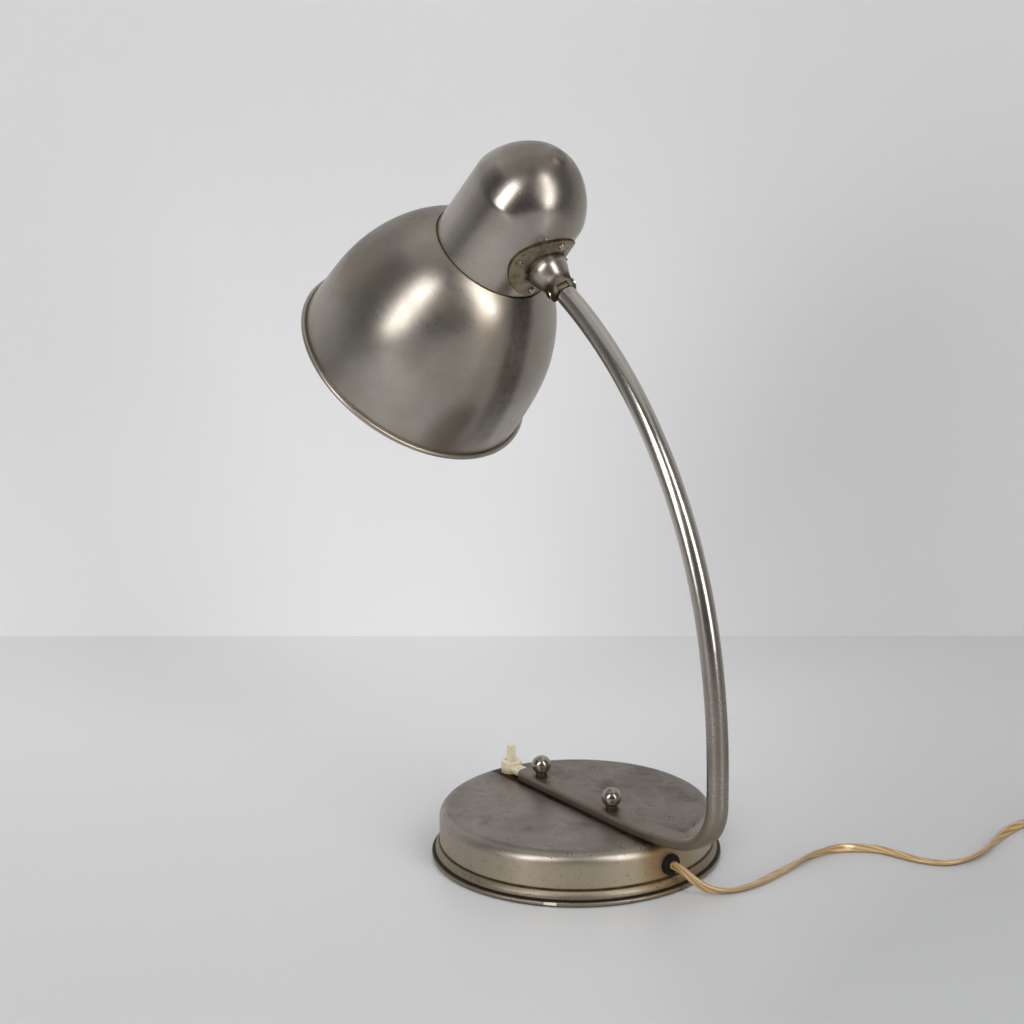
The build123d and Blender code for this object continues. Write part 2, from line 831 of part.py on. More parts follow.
# Knuckle
def make_arm_knuckle():
    with BuildPart() as arm_knuckle:
        with BuildSketch(hinge_plane(-eye_half_width, tip_dir)):
            Circle(eye_radius)
            with Locations((-(tip_gap - neck_gap) / 2, 0)):
                Rectangle(tip_gap - neck_gap, 2 * neck_half_height)
        extrude(amount=2 * eye_half_width)
        inner, heading = arm_place(tip_gap + plug_depth)
        forward = (math.cos(math.radians(heading)), math.sin(math.radians(heading)))
        with BuildLine(Plane.XZ) as plug_path:
            reach = math.degrees((plug_depth + plug_overlap) / upper_radius)
            JernArc(start=inner, tangent=forward, radius=upper_radius, arc_size=reach)
        plug_end = Plane(origin=(inner[0], 0, inner[1]), x_dir=(0, 1, 0), z_dir=(forward[0], 0, forward[1]))
        with BuildSketch(plug_end):
            Circle(tube_diameter / 2 - tube_wall - plug_clearance)
        sweep(path=plug_path.wires()[0])
        with BuildSketch(plug_end):
            Circle(eye_cavity / 2)
        sweep(path=plug_path.wires()[0], mode=Mode.SUBTRACT)
        with BuildSketch(hinge_plane(-eye_cavity / 2, tip_dir)):
            with Locations((-tip_gap / 2, 0)):
                Rectangle(tip_gap + neck_gap, eye_cavity_height)
            with Locations((eye_slot_start + eye_radius / 2, 0)):
                Rectangle(eye_radius + cut_margin, 2 * eye_radius + cut_margin)
        extrude(amount=eye_cavity, mode=Mode.SUBTRACT)
        with BuildSketch(hinge_plane(-eye_half_width, tip_dir)):
            Circle(pivot_tip_radius + pin_clearance)
        extrude(amount=2 * eye_half_width, mode=Mode.SUBTRACT)
    save(arm_knuckle, "arm_knuckle")


def make_joint_boss():
    profile = Plane(origin=joint, x_dir=hinge_dir, z_dir=hinge_dir.cross(boss_dir))
    outer_end = -cheek_radius
    with BuildPart() as joint_boss:
        with BuildSketch(profile):
            with BuildLine():
                Polyline((0, outer_end), (barrel_half - barrel_edge, outer_end))
                ThreePointArc(
                    (barrel_half - barrel_edge, outer_end),
                    (barrel_half - barrel_shoulder, outer_end + barrel_shoulder_height),
                    (barrel_half, 0),
                )
                Spline(
                    [
                        (barrel_half, 0),
                        (boss_radius - boss_shoulder_in, boss_shoulder),
                        (boss_radius, seat_reach - boss_rim),
                    ],
                    tangents=[(0, 1), (0, 1)],
                )
                Polyline(
                    (boss_radius, seat_reach - boss_rim),
                    (boss_radius, seat_reach - joint_seat_gap),
                    (stem_radius, seat_reach - joint_seat_gap),
                    (stem_radius, stem_reach),
                    (0, stem_reach),
                    (0, outer_end),
                )
            make_face()
        revolve(axis=Axis(joint, boss_dir))
        with BuildSketch(hinge_plane(-boss_radius - cut_margin, boss_dir)):
            Circle(cheek_radius)
            with Locations(((boss_shoulder + stem_reach + cut_margin) / 2, 0)):
                Rectangle(stem_reach + cut_margin - boss_shoulder, 2 * boss_radius + cut_margin)
            make_hull()
        extrude(amount=2 * (boss_radius + cut_margin), mode=Mode.INTERSECT)
        with BuildSketch(hinge_plane(-cheek_gap, boss_dir)):
            Circle(slot_radius)
            with Locations((outer_end, 0)):
                Rectangle(-2 * outer_end, 4 * boss_radius)
        extrude(amount=2 * cheek_gap, mode=Mode.SUBTRACT)
        with BuildSketch(fork_plane(0)):
            Circle(stem_bore)
        extrude(amount=stem_reach, mode=Mode.SUBTRACT)
        for side in (-1, 1):
            with BuildSketch(hinge_plane(side * cheek_gap, boss_dir)):
                Circle(pivot_tip_radius)
            extrude(amount=side * boss_radius, mode=Mode.SUBTRACT)
            with BuildSketch(hinge_plane(side * pivot_step, boss_dir)):
                Circle(pivot_radius)
            extrude(amount=side * boss_radius, mode=Mode.SUBTRACT)
    save(joint_boss, "joint_boss")


def make_pivot_screws():
    end = barrel_half + pivot_proud
    with BuildPart() as pivot_screws:
        for side in (-1, 1):
            with BuildSketch(hinge_plane(side * pivot_tip_start, boss_dir)):
                Circle(pivot_tip_radius)
            extrude(amount=side * (pivot_step - pivot_tip_start))
            with BuildSketch(hinge_plane(side * pivot_step, boss_dir)):
                Circle(pivot_radius)
            extrude(amount=side * (end - pivot_step))
            with BuildSketch(hinge_plane(side * end, boss_dir)):
                Rectangle(3 * pivot_radius, pivot_slot_width, rotation=pivot_slot_angle)
            extrude(amount=-side * pivot_slot_depth, mode=Mode.SUBTRACT)
    save(pivot_screws, "pivot_screws")


def make_friction_washers():
    start = eye_half_width + washer_gap
    with BuildPart() as friction_washers:
        for side in (-1, 1):
            with BuildSketch(hinge_plane(side * start, boss_dir)):
                Circle(friction_radius)
                Circle(pivot_tip_radius + pin_clearance, mode=Mode.SUBTRACT)
            extrude(amount=side * friction_thickness)
    save(friction_washers, "friction_washers")


# Cap, joint plate and what backs it
def cap_outline(inset, far):
    """The cap's outer or inner outline as (radius, station), from its mouth to its top."""
    low = shade_length + cap_gap
    rise = cap_length - cap_shoulder_station
    points = []
    for step in range(1, dome_points + 1):
        angle = math.pi / 2 * step / (dome_points + 1)
        radius = (cap_shoulder_radius - inset) * math.cos(angle) ** dome_power
        points.append((radius, cap_shoulder_station + (rise - inset) * math.sin(angle) ** dome_power))
    start = (cap_shoulder_radius - inset, cap_shoulder_station)
    Line((cap_mouth_radius - inset, low), start)
    Spline([start, *points, (0, cap_length - inset)], tangents=[(0, 1), (-1, 0)])
    rim = cap_mouth_radius - inset
    Polyline((0, cap_length - inset), (0, far), (rim, far), (rim, low))


def cap_solid(inset, mode):
    """The full volume inside one of the cap's outlines."""
    with BuildSketch(head_profile) as profile:
        with BuildLine():
            cap_outline(inset, shade_length + cap_gap - cut_margin)
        make_face()
    revolve(profile.sketch, axis=head_axis, mode=mode)


def make_cap():
    with BuildPart() as cap:
        cap_solid(0, Mode.ADD)
        cap_solid(cap_wall, Mode.SUBTRACT)
        with BuildSketch(head_plane(shade_length + cap_gap)):
            Circle(2 * cap_mouth_radius)
        extrude(amount=-2 * cut_margin, mode=Mode.SUBTRACT)
        with BuildSketch(boss_plane(cap_reach - 2)):
            Circle(stem_radius + stem_clearance)
        extrude(amount=cap_radius / 2, mode=Mode.SUBTRACT)
        for plane in screw_planes():
            with BuildSketch(plane):
                Circle(plate_screw_radius)
            extrude(amount=-plate_screw_length, mode=Mode.SUBTRACT)
    save(cap, "cap")


def make_joint_plate():
    with BuildPart() as joint_plate:
        with BuildSketch(boss_plane(seat_reach)):
            Circle(joint_plate_radius)
        extrude(amount=cap_radius / 2)
        cap_solid(-joint_plate_thickness, Mode.INTERSECT)
        with BuildSketch(boss_plane(seat_reach)):
            Circle(boss_radius)
        extrude(amount=cap_radius / 2)
        cap_solid(0, Mode.SUBTRACT)
        with BuildSketch(boss_plane(seat_reach - 1)):
            Circle(stem_radius + stem_clearance)
        extrude(amount=cap_radius / 2, mode=Mode.SUBTRACT)
        for plane in screw_planes():
            with BuildSketch(plane.offset(1)):
                Circle(plate_screw_radius)
            extrude(amount=-plate_screw_length, mode=Mode.SUBTRACT)
    save(joint_plate, "joint_plate")


def make_plate_screws():
    with BuildPart() as plate_screws:
        for plane in screw_planes():
            with BuildSketch(plane):
                Circle(plate_screw_radius)
            extrude(amount=-plate_screw_length)
            with BuildSketch(plane.offset(plate_screw_lift)):
                Circle(plate_screw_head)
            extrude(amount=plate_screw_head_height, taper=plate_screw_taper)
            with BuildSketch(plane):
                Circle(plate_screw_radius)
            extrude(amount=2 * plate_screw_lift)
    save(plate_screws, "plate_screws")


def make_saddle_block():
    with BuildPart() as saddle_block:
        cap_solid(cap_wall, Mode.ADD)
        with BuildSketch(boss_plane(cap_reach - 2)):
            Circle(saddle_radius)
        extrude(amount=foot_reach - cap_reach + 2, mode=Mode.INTERSECT)
        with BuildSketch(boss_plane(cap_reach - 2)):
            Circle(stem_radius + stem_clearance)
        extrude(amount=foot_reach, mode=Mode.SUBTRACT)
        for plane in screw_planes():
            with BuildSketch(plane):
                Circle(plate_screw_radius)
            extrude(amount=-plate_screw_length, mode=Mode.SUBTRACT)
    save(saddle_block, "saddle_block")


def make_holder_bracket():
    low = plate_station - foot_drop
    inner = saddle_flat - foot_thickness
    with BuildPart() as holder_bracket:
        with BuildSketch(head_plane(low)):
            with Locations((saddle_flat - foot_thickness / 2, 0)):
                Rectangle(foot_thickness, 2 * foot_half_width)
        extrude(amount=cap_shoulder_station - low)
        with BuildSketch(head_plane(cap_shoulder_station)):
            with Locations((saddle_flat - foot_thickness / 2, 0)):
                Rectangle(foot_thickness, 2 * bracket_half_width)
        extrude(amount=bracket_station + foot_thickness - cap_shoulder_station)
        with BuildSketch(head_plane(bracket_station)):
            with Locations(((inner - bracket_past_axis) / 2, 0)):
                Rectangle(inner + bracket_past_axis, 2 * bracket_half_width)
            Circle(nipple_radius + holder_clearance, mode=Mode.SUBTRACT)
        extrude(amount=foot_thickness)
        with BuildSketch(boss_plane(foot_reach)):
            Circle(stem_radius + stem_clearance)
        extrude(amount=foot_thickness, mode=Mode.SUBTRACT)
    save(holder_bracket, "holder_bracket")


def make_swivel_spring():
    with BuildPart() as swivel_spring:
        with BuildSketch(boss_plane(spring_reach)):
            Circle(spring_radius)
            Circle(stem_radius, mode=Mode.SUBTRACT)
        extrude(amount=spring_thickness)
    save(swivel_spring, "swivel_spring")


def make_swivel_nut():
    with BuildPart() as swivel_nut:
        with BuildSketch(boss_plane(nut_reach)):
            RegularPolygon(swivel_nut_size / 2, 6, major_radius=False)
            Circle(stem_radius, mode=Mode.SUBTRACT)
        extrude(amount=swivel_nut_height)
    save(swivel_nut, "swivel_nut")


# Shade
def shade_points():
    """The bell's outside as (radius, station), from its edge to its neck."""
    return [
        (shade_edge_radius, 0),
        (shade_low_radius, shade_low_share * shade_length),
        (shade_mid_radius, shade_mid_share * shade_length),
        (shade_high_radius, shade_high_share * shade_length),
        (shade_top_radius, shade_top_share * shade_length),
        (shade_neck_radius, shade_length),
    ]


def make_shade():
    bead = shade_mouth_radius - shade_bead_radius
    with BuildPart() as shade:
        with BuildSketch(head_profile):
            with BuildLine():
                outside = Spline(shade_points())
                inner = []
                for step in range(wall_points + 1):
                    share = step / wall_points
                    along = outside % share
                    inner.append(outside @ share + Vector(-along.Y, along.X, 0) * shade_wall)
                inside = Spline(inner)
                Line(outside @ 0, inside @ 0)
                Line(outside @ 1, inside @ 1)
            make_face()
            with BuildLine():
                Polyline(
                    (shade_neck_radius, shade_length),
                    (holder_radius + holder_clearance, shade_length),
                    (holder_radius + holder_clearance, shade_length - shade_wall),
                    (shade_neck_radius, shade_length - shade_wall),
                    close=True,
                )
            make_face()
            with Locations((bead, 0)):
                Circle(shade_bead_radius)
        revolve(axis=head_axis)
    save(shade, "shade")


# Lampholder and bulb
def make_shade_rings():
    with BuildPart() as shade_rings:
        for start in (shade_length, shade_length - shade_wall - ring_thickness):
            with BuildSketch(head_plane(start)):
                Circle(ring_radius)
                Circle(holder_radius, mode=Mode.SUBTRACT)
            extrude(amount=ring_thickness)
    save(shade_rings, "shade_rings")


def holder_skin(inset):
    """The lampholder shell's outline as (radius, station)."""
    top = holder_top - inset
    shoulder = holder_top - holder_neck_length - inset
    radius = holder_radius - inset
    neck = holder_neck_radius - inset
    Line((radius, holder_mouth), (radius, holder_shoulder_station))
    curve = (holder_curve_radius - inset, holder_shoulder_station + holder_curve_rise)
    Spline([(radius, holder_shoulder_station), curve, (neck, shoulder)], tangents=[(0, 1), (-1, 0)])
    Polyline((neck, shoulder), (neck, top), (0, top), (0, holder_mouth), (radius, holder_mouth))


def make_holder_shell():
    with BuildPart() as holder_shell:
        for inset, mode in ((0, Mode.ADD), (holder_wall, Mode.SUBTRACT)):
            with BuildSketch(head_profile):
                with BuildLine():
                    holder_skin(inset)
                make_face()
            revolve(axis=head_axis, mode=mode)
        with BuildSketch(head_plane(nipple_bottom)):
            Circle(nipple_radius)
        extrude(amount=nipple_length, mode=Mode.SUBTRACT)
    save(holder_shell, "holder_shell")


def make_holder_insert():
    with BuildPart() as holder_insert:
        with BuildSketch(head_plane(insert_bottom)):
            Circle(holder_radius - holder_wall - holder_clearance)
        extrude(amount=insert_thickness)
        with BuildSketch(head_plane(insert_bottom)):
            Circle(screw_shell_radius + screw_shell_wall + holder_clearance)
        extrude(amount=insert_recess, mode=Mode.SUBTRACT)
        with BuildSketch(head_plane(insert_bottom)):
            Circle(contact_radius)
        extrude(amount=insert_thickness, mode=Mode.SUBTRACT)
    save(holder_insert, "holder_insert")


def make_screw_shell():
    with BuildPart() as screw_shell:
        with BuildSketch(head_plane(screw_shell_start)):
            Circle(screw_shell_radius + screw_shell_wall)
            Circle(screw_shell_radius, mode=Mode.SUBTRACT)
        extrude(amount=insert_bottom + insert_recess - screw_shell_start)
    save(screw_shell, "screw_shell")


def make_centre_contact():
    with BuildPart() as centre_contact:
        with BuildSketch(head_plane(bulb_contact_station)):
            Circle(contact_radius)
        extrude(amount=insert_bottom + insert_thickness - bulb_contact_station)
    save(centre_contact, "centre_contact")


def make_nipple():
    with BuildPart() as nipple:
        with BuildSketch(head_plane(nipple_bottom)):
            Circle(nipple_radius)
            Circle(nipple_bore, mode=Mode.SUBTRACT)
        extrude(amount=nipple_length)
    save(nipple, "nipple")


def make_nipple_nuts():
    with BuildPart() as nipple_nuts:
        for start in (bracket_station - nipple_nut_height, bracket_station + foot_thickness):
            with BuildSketch(head_plane(start)):
                RegularPolygon(nipple_nut_size / 2, 6, major_radius=False)
                Circle(nipple_radius, mode=Mode.SUBTRACT)
            extrude(amount=nipple_nut_height)
    save(nipple_nuts, "nipple_nuts")


def bulb_skin(inset):
    """The bulb's outline as (radius, station), from its tip to its neck."""
    middle = bulb_tip + bulb_radius
    radius = bulb_radius - inset
    shoulder = bulb_shoulder_radius - inset
    neck = bulb_neck_radius - inset
    end = bulb_neck_station + bulb_neck_length
    TangentArc((0, bulb_tip + inset), (radius, middle), tangent=(1, 0))
    Spline(
        [(radius, middle), (shoulder, middle + bulb_shoulder_rise), (neck, bulb_neck_station)],
        tangents=[(0, 1), (0, 1)],
    )
    Polyline(
        (neck, bulb_neck_station),
        (neck, end),
        (0, end),
        (0, bulb_tip + inset),
    )


def make_bulb_glass():
    with BuildPart() as bulb_glass:
        for inset, mode in ((0, Mode.ADD), (bulb_glass_wall, Mode.SUBTRACT)):
            with BuildSketch(head_profile):
                with BuildLine():
                    bulb_skin(inset)
                make_face()
            revolve(axis=head_axis, mode=mode)
    save(bulb_glass, "bulb_glass")


def make_bulb_cap():
    start = bulb_neck_station + bulb_neck_length
    with BuildPart() as bulb_cap:
        with BuildSketch(head_plane(start)):
            Circle(bulb_cap_radius)
        extrude(amount=bulb_contact_station - start - bulb_cap_end)
        with BuildSketch(head_plane(bulb_contact_station - bulb_cap_end)):
            Circle(bulb_cap_radius - bulb_cap_step)
        extrude(amount=bulb_cap_end, taper=bulb_cap_taper)
    save(bulb_cap, "bulb_cap")


def make_head_lead():
    turn_point = joint + boss_dir * head_lead_offset
    top = mouth + head_dir * head_lead_station - boss_dir * (cap_reach + cap_radius - head_lead_offset)
    end = mouth + head_dir * head_lead_station - boss_dir * holder_neck_radius
    with BuildPart() as head_lead:
        with BuildLine() as path:
            FilletPolyline(joint + boss_dir * slot_radius, turn_point, top, end, radius=head_lead_bend)
        with BuildSketch(boss_plane(slot_radius)):
            Circle(head_lead_radius)
        sweep(path=path.wires()[0])
    save(head_lead, "head_lead")


# Cord
def corner_radii(points, name):
    """An arc for each corner, as large as its two runs allow."""
    radii = []
    for before, at, after in zip(points, points[1:], points[2:]):
        incoming = at - before
        outgoing = after - at
        turn = math.radians(incoming.get_angle(outgoing))
        shorter = min(incoming.length, outgoing.length)
        radii.append(cord_bend_share * shorter / math.tan(turn / 2))
    print(name, "radii", [round(radius, 1) for radius in radii])
    return radii


def make_cord():
    exit_plane = grommet_plane(drum_radius + grommet_proud)
    coil_start = Vector(coil_start_x, coil_start_y, coil_height)
    first = [exit_plane.origin, exit_plane.offset(cord_exit_run).origin]
    points = [*first, *[Vector(*point) for point in cord_route], coil_start]
    with BuildPart() as cord:
        with BuildLine() as path:
            FilletPolyline(*points, radius=corner_radii(points, "cord"))
        with BuildSketch(Plane(origin=exit_plane.origin, z_dir=path.wires()[0] % 0)):
            Circle(cord_radius)
        sweep(path=path.wires()[0])
    section = math.pi * cord_radius**2
    length = path.wires()[0].length
    print("cord length", round(length, 1), "by volume", round(cord.part.volume / section, 1))
    save(cord, "cord")


def coil_ends():
    """Where each half turn starts and ends: signed reach from the coil's middle, and height."""
    step = coil_pitch / 2
    reach = [coil_first_radius - step * count for count in range(coil_turns_in + 2)]
    reach += [reach[-1] + step * (count + 1) for count in range(1, coil_turns_out + 1)]
    ends = []
    for count, radius in enumerate(reach):
        side = -1 if count % 2 == 0 else 1
        height = coil_height if count <= coil_turns_in else coil_height + coil_layer
        ends.append((side * radius, height))
    return ends


def coil_point(reach, height):
    return Vector(coil_start_x + coil_first_radius + reach, coil_start_y, height)


def make_cord_coil():
    ends = coil_ends()
    with BuildPart() as cord_coil:
        with BuildLine() as path:
            for (reach, height), (next_reach, next_height) in zip(ends, ends[1:]):
                start = coil_point(reach, height)
                end = coil_point(next_reach, next_height)
                heading = Vector(0, 1, 0) if reach < 0 else Vector(0, -1, 0)
                ThreePointArc(start, (start + end) * 0.5 + heading * ((end - start).length / 2), end)
        with BuildSketch(Plane(origin=coil_point(*ends[0]), x_dir=(1, 0, 0), z_dir=(0, 1, 0))):
            Circle(cord_radius)
        sweep(path=path.wires()[0])
    wire = path.wires()[0]
    section = math.pi * cord_radius**2
    print("coil length", round(wire.length, 1), "by volume", round(cord_coil.part.volume / section, 1))
    print("coil least gap", round(least_gap(wire), 2))
    save(cord_coil, "cord_coil")


def least_gap(wire):
    """The coil's nearest approach to itself, skin to skin."""
    count = int(wire.length)
    points = [tuple(wire @ (step / count)) for step in range(count + 1)]
    skip = int(4 * coil_pitch)
    gaps = []
    for first in range(count + 1):
        for second in range(first + skip, count + 1):
            gaps.append(math.dist(points[first], points[second]))
    return min(gaps) - 2 * cord_radius


def tail_start():
    reach, height = coil_ends()[-1]
    return coil_point(reach, height)


def make_cord_tail():
    start = tail_start()
    points = [start, *[start + Vector(*step) for step in tail_route], start + Vector(*tail_end)]
    with BuildPart() as cord_tail:
        with BuildLine() as path:
            FilletPolyline(*points, radius=corner_radii(points, "tail"))
        with BuildSketch(Plane(origin=start, x_dir=(1, 0, 0), z_dir=path.wires()[0] % 0)):
            Circle(cord_radius)
        sweep(path=path.wires()[0])
    print("tail length", round(path.wires()[0].length, 1))
    save(cord_tail, "cord_tail")


def make_cord_tie():
    ends = coil_ends()
    right = [abs(reach) for reach, height in ends if reach > 0]
    low = min(right) - cord_radius - tie_clearance
    high = max(right) + cord_radius + tie_clearance
    tall = coil_layer + 2 * cord_radius + tie_clearance
    middle = coil_point((low + high) / 2, tie_thickness + tall / 2)
    with BuildPart() as cord_tie:
        with BuildSketch(Plane(origin=middle, x_dir=(1, 0, 0), z_dir=(0, -1, 0))):
            RectangleRounded(high - low + 2 * tie_thickness, tall + 2 * tie_thickness, tie_corner)
            RectangleRounded(high - low, tall, tie_corner - tie_thickness, mode=Mode.SUBTRACT)
        extrude(amount=tie_width / 2, both=True)
    save(cord_tie, "cord_tie")


def plug_plane(distance):
    """Square to the plug, a distance past the tail's end."""
    place = tail_start() + Vector(*tail_end)
    return Plane(origin=place + Vector(0, distance, 0), x_dir=(1, 0, 0), z_dir=(0, 1, 0))


def make_plug_body():
    with BuildPart() as plug_body:
        with BuildSketch(plug_plane(0)):
            Circle(plug_neck_radius)
        extrude(amount=plug_neck_length + plug_overlap_length)
        with BuildSketch(plug_plane(plug_neck_length)):
            RectangleRounded(plug_back_width, plug_thickness, plug_fillet)
        with BuildSketch(plug_plane(plug_neck_length + plug_length / 2)):
            RectangleRounded(plug_width, plug_thickness, plug_fillet)
        with BuildSketch(plug_plane(plug_neck_length + plug_length)):
            RectangleRounded(plug_width, plug_thickness, plug_fillet)
        loft(ruled=True)
        with BuildSketch(plug_plane(plug_neck_length + plug_length)):
            with Locations((-plug_pin_spacing / 2, 0), (plug_pin_spacing / 2, 0)):
                Circle(plug_pin_radius)
        extrude(amount=-plug_pin_seat, mode=Mode.SUBTRACT)
    save(plug_body, "plug_body")


def make_plug_pins():
    with BuildPart() as plug_pins:
        with BuildSketch(plug_plane(plug_neck_length + plug_length - plug_pin_seat)):
            with Locations((-plug_pin_spacing / 2, 0), (plug_pin_spacing / 2, 0)):
                Circle(plug_pin_radius)
        extrude(amount=plug_pin_seat + plug_pin_length)
        fillet(plug_pins.edges().filter_by(GeomType.CIRCLE).group_by(Axis.Y)[-1], plug_pin_round)
    save(plug_pins, "plug_pins")


base_makers = [
    make_base_shell,
    make_base_weight,
    make_bottom_plate,
    make_felt_pad,
    make_bottom_screw,
    make_clamp_studs,
    make_ball_nuts,
    make_stud_washers,
    make_stud_nuts,
    make_arm_tube,
    make_switch_block,
    make_switch_lever,
    make_lever_pin,
    make_switch_terminals,
    make_switch_leads,
    make_cable_grommet,
    make_base_lead,
    make_cord_stop,
    make_arm_lead,
    make_arm_knuckle,
]
knuckle_makers = [
    make_joint_boss,
    make_pivot_screws,
    make_friction_washers,
    make_swivel_spring,
    make_swivel_nut,
]
head_makers = [
    make_cap,
    make_joint_plate,
    make_plate_screws,
    make_saddle_block,
    make_holder_bracket,
    make_shade,
    make_shade_rings,
    make_holder_shell,
    make_holder_insert,
    make_screw_shell,
    make_centre_contact,
    make_nipple,
    make_nipple_nuts,
    make_bulb_glass,
    make_bulb_cap,
    make_head_lead,
]
cord_makers = [
    make_cord,
    make_cord_coil,
    make_cord_tail,
    make_cord_tie,
    make_plug_body,
    make_plug_pins,
]

for make_piece in base_makers + knuckle_makers + head_makers + cord_makers:
    make_piece()

print("joint", joint)
print("hinge direction", hinge_dir)
print("boss direction", boss_dir)
print("head direction", head_dir)
print("mouth", mouth)
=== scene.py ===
# Desk lamp in worn satin nickel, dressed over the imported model.
# Metres, +Z up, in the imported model's own frame. The origin is under the middle of the base.
import bpy
import math

from mathutils import Matrix, Vector


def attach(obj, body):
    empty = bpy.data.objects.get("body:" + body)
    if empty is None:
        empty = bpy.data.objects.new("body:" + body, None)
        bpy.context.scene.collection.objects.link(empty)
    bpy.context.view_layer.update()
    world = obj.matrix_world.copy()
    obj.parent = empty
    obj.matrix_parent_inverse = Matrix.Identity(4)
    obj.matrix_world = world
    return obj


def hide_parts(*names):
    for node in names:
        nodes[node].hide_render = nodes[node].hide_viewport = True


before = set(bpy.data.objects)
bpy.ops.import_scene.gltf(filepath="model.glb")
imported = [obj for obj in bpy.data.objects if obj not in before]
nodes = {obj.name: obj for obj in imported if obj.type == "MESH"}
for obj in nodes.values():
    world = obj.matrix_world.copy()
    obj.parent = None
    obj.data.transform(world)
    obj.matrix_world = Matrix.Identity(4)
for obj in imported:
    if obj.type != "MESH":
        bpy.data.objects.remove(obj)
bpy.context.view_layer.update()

# The lamp's own lines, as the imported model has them
origin = Vector((0.0, 0.0, 0.0))
up = Vector((0.0, 0.0, 1.0))
hinge_at = Vector((-0.01171, 0.0, 0.35026))
boss_dir = Vector((-0.725389, -0.11294, 0.67901)).normalized()
head_dir = Vector((0.664312, 0.143489, 0.733553)).normalized()
mouth_at = Vector((-0.136772, -0.0246073, 0.293569))
bend_at = Vector((0.1027, 0.0, 0.071))
bend_axis = Vector((0.0, 1.0, 0.0))

# Base: heights of the foot's fold and step, and bands where the wall and the top begin and end
# The foot's fold and step carry painted shade lines.
foot_fold = 0.0038
foot_step = 0.0094
wall_end = (0.022, 0.030)
top_start = (0.0300, 0.0314)
edge_band = (0.080, 0.083)

# Base: the middles of its stains
hole_stain_at = (0.0848, 0.0060, 0.0165)
hole_ring_at = (0.0848, 0.0060, 0.0173)
rust_at = (0.0840, 0.0000, 0.0205)
bar_end_at = (-0.060, 0.004, 0.032)

# Bar and tube
# Middles of the painted shade round the two ball nuts on the bar.
first_nut_at = (-0.0364, 0.0, 0.0385)
second_nut_at = (0.0364, 0.0, 0.0385)
bend_inside_at = (0.122, 0.0, 0.046)
upright_start = (0.042, 0.075)
# Heights over which the tube is painted lighter as a painted highlight.
tube_rise = (0.12, 0.25)

# Shade and cap: heights along the head's axis, and outward directions from the middle of the shade
# rim_roll and seam_line place painted shade lines; seam_stain places yellowing.
rim_roll = 0.0022
seam_line = 0.1021
seam_stain = 0.1025
shade_middle = mouth_at + head_dir * 0.045
# Directions of the painted dark reflection: a stripe beside the arm, and the shade's top.
stripe_across = (-0.071, 0.989, -0.129)
stripe_side = (0.98, 0.05, -0.16)
shade_top = (-0.30, -0.40, 0.86)

# Cord: the same route as the model's, then the put-away coil and the tail to the plug
cord_width = 0.0056
wire_radius = 0.00138
cord_route = [
    (0.08745, 0.00657, 0.01730),
    (0.09204, 0.00692, 0.01730),
    (0.0986, 0.0102, 0.0134),
    (0.1055, 0.0175, 0.0076),
    (0.1100, 0.0320, 0.0028),
    (0.1106, 0.0510, 0.0028),
    (0.1046, 0.0770, 0.0028),
    (0.0982, 0.1030, 0.0028),
    (0.0990, 0.1280, 0.0028),
    (0.1130, 0.1485, 0.0028),
    (0.1365, 0.1540, 0.0028),
    (0.1555, 0.1640, 0.0028),
    (0.1603, 0.1870, 0.0028),
    (0.1500, 0.2130, 0.0028),
    (0.1408, 0.2380, 0.0028),
    (0.1382, 0.2600, 0.0030),
    (0.1390, 0.2790, 0.0033),
]
coil_start = Vector((0.1390, 0.2960, 0.0033))
coil_first_radius = 0.04065
coil_pitch = 0.0061
coil_layer = 0.0061
coil_turns_in = 6
coil_turns_out = 7
points_per_half_turn = 10
tail_route = [(0.0, 0.011, 0.0), (0.001, 0.024, -0.00255), (0.001, 0.035, -0.00255)]

# The flex's section: how much the web is drawn in, and how soon the wires part
section_points = 24
web_waist = 0.32
wire_part = 2.4

# Where the flex sinks onto the table, along its length, and the gap it keeps there
sink_start = 0.006
sink_length = 0.042
table_gap = 0.0001

# Turn of the flat flex about its own line, in degrees from lying flat, at shares of the free length
twist_at = [(0.0, 90), (0.06, 70), (0.14, 20), (0.24, 0), (0.36, 60), (0.46, 150), (0.58, 180)]
twist_at += [(0.70, 230), (0.82, 300), (0.92, 360), (1.0, 450)]

# Camera, worked out from the photograph's perspective
camera_at = Vector((0.9872, -0.7309, 0.4990))
camera_forward = Vector((-0.8006, 0.5559, -0.2237))
camera_up = Vector((-0.1764, 0.1381, 0.9746))
lens_mm = 73.6
sensor_mm = 36.0
half_view = sensor_mm / lens_mm / 2

# Table and wall, painted from bright to dim colours as a painted falloff of light
stage_away = Vector((-0.7946, 0.6072, 0.0))
stage_along = Vector((0.6072, 0.7946, 0.0))
wall_distance = 0.4748
table_near = 3.0
stage_half_width = 2.2
wall_height = 1.6
table_bright = (0.78, 0.78, 0.79, 1.0)
table_dim = (0.47, 0.475, 0.48, 1.0)
wall_bright = (0.84, 0.835, 0.84, 1.0)
wall_dim = (0.55, 0.55, 0.55, 1.0)

# Room light, the room's grey past the stage, and the backdrop that metal mirrors
room_light = 0.36
room_grey = (0.66, 0.66, 0.67, 1.0)
backdrop_facing = (0.80, -0.56, 0.12)
backdrop_fade = {"From Min": -0.75, "From Max": 0.50, "To Min": 0.64, "To Max": 0.07}

# Studio lamps: the point that they face, and the way of their long side before it leans
lamps_face = Vector((0.0, 0.0, 0.2))
nearly_up = Vector((0.0, 0.02, 1.0))

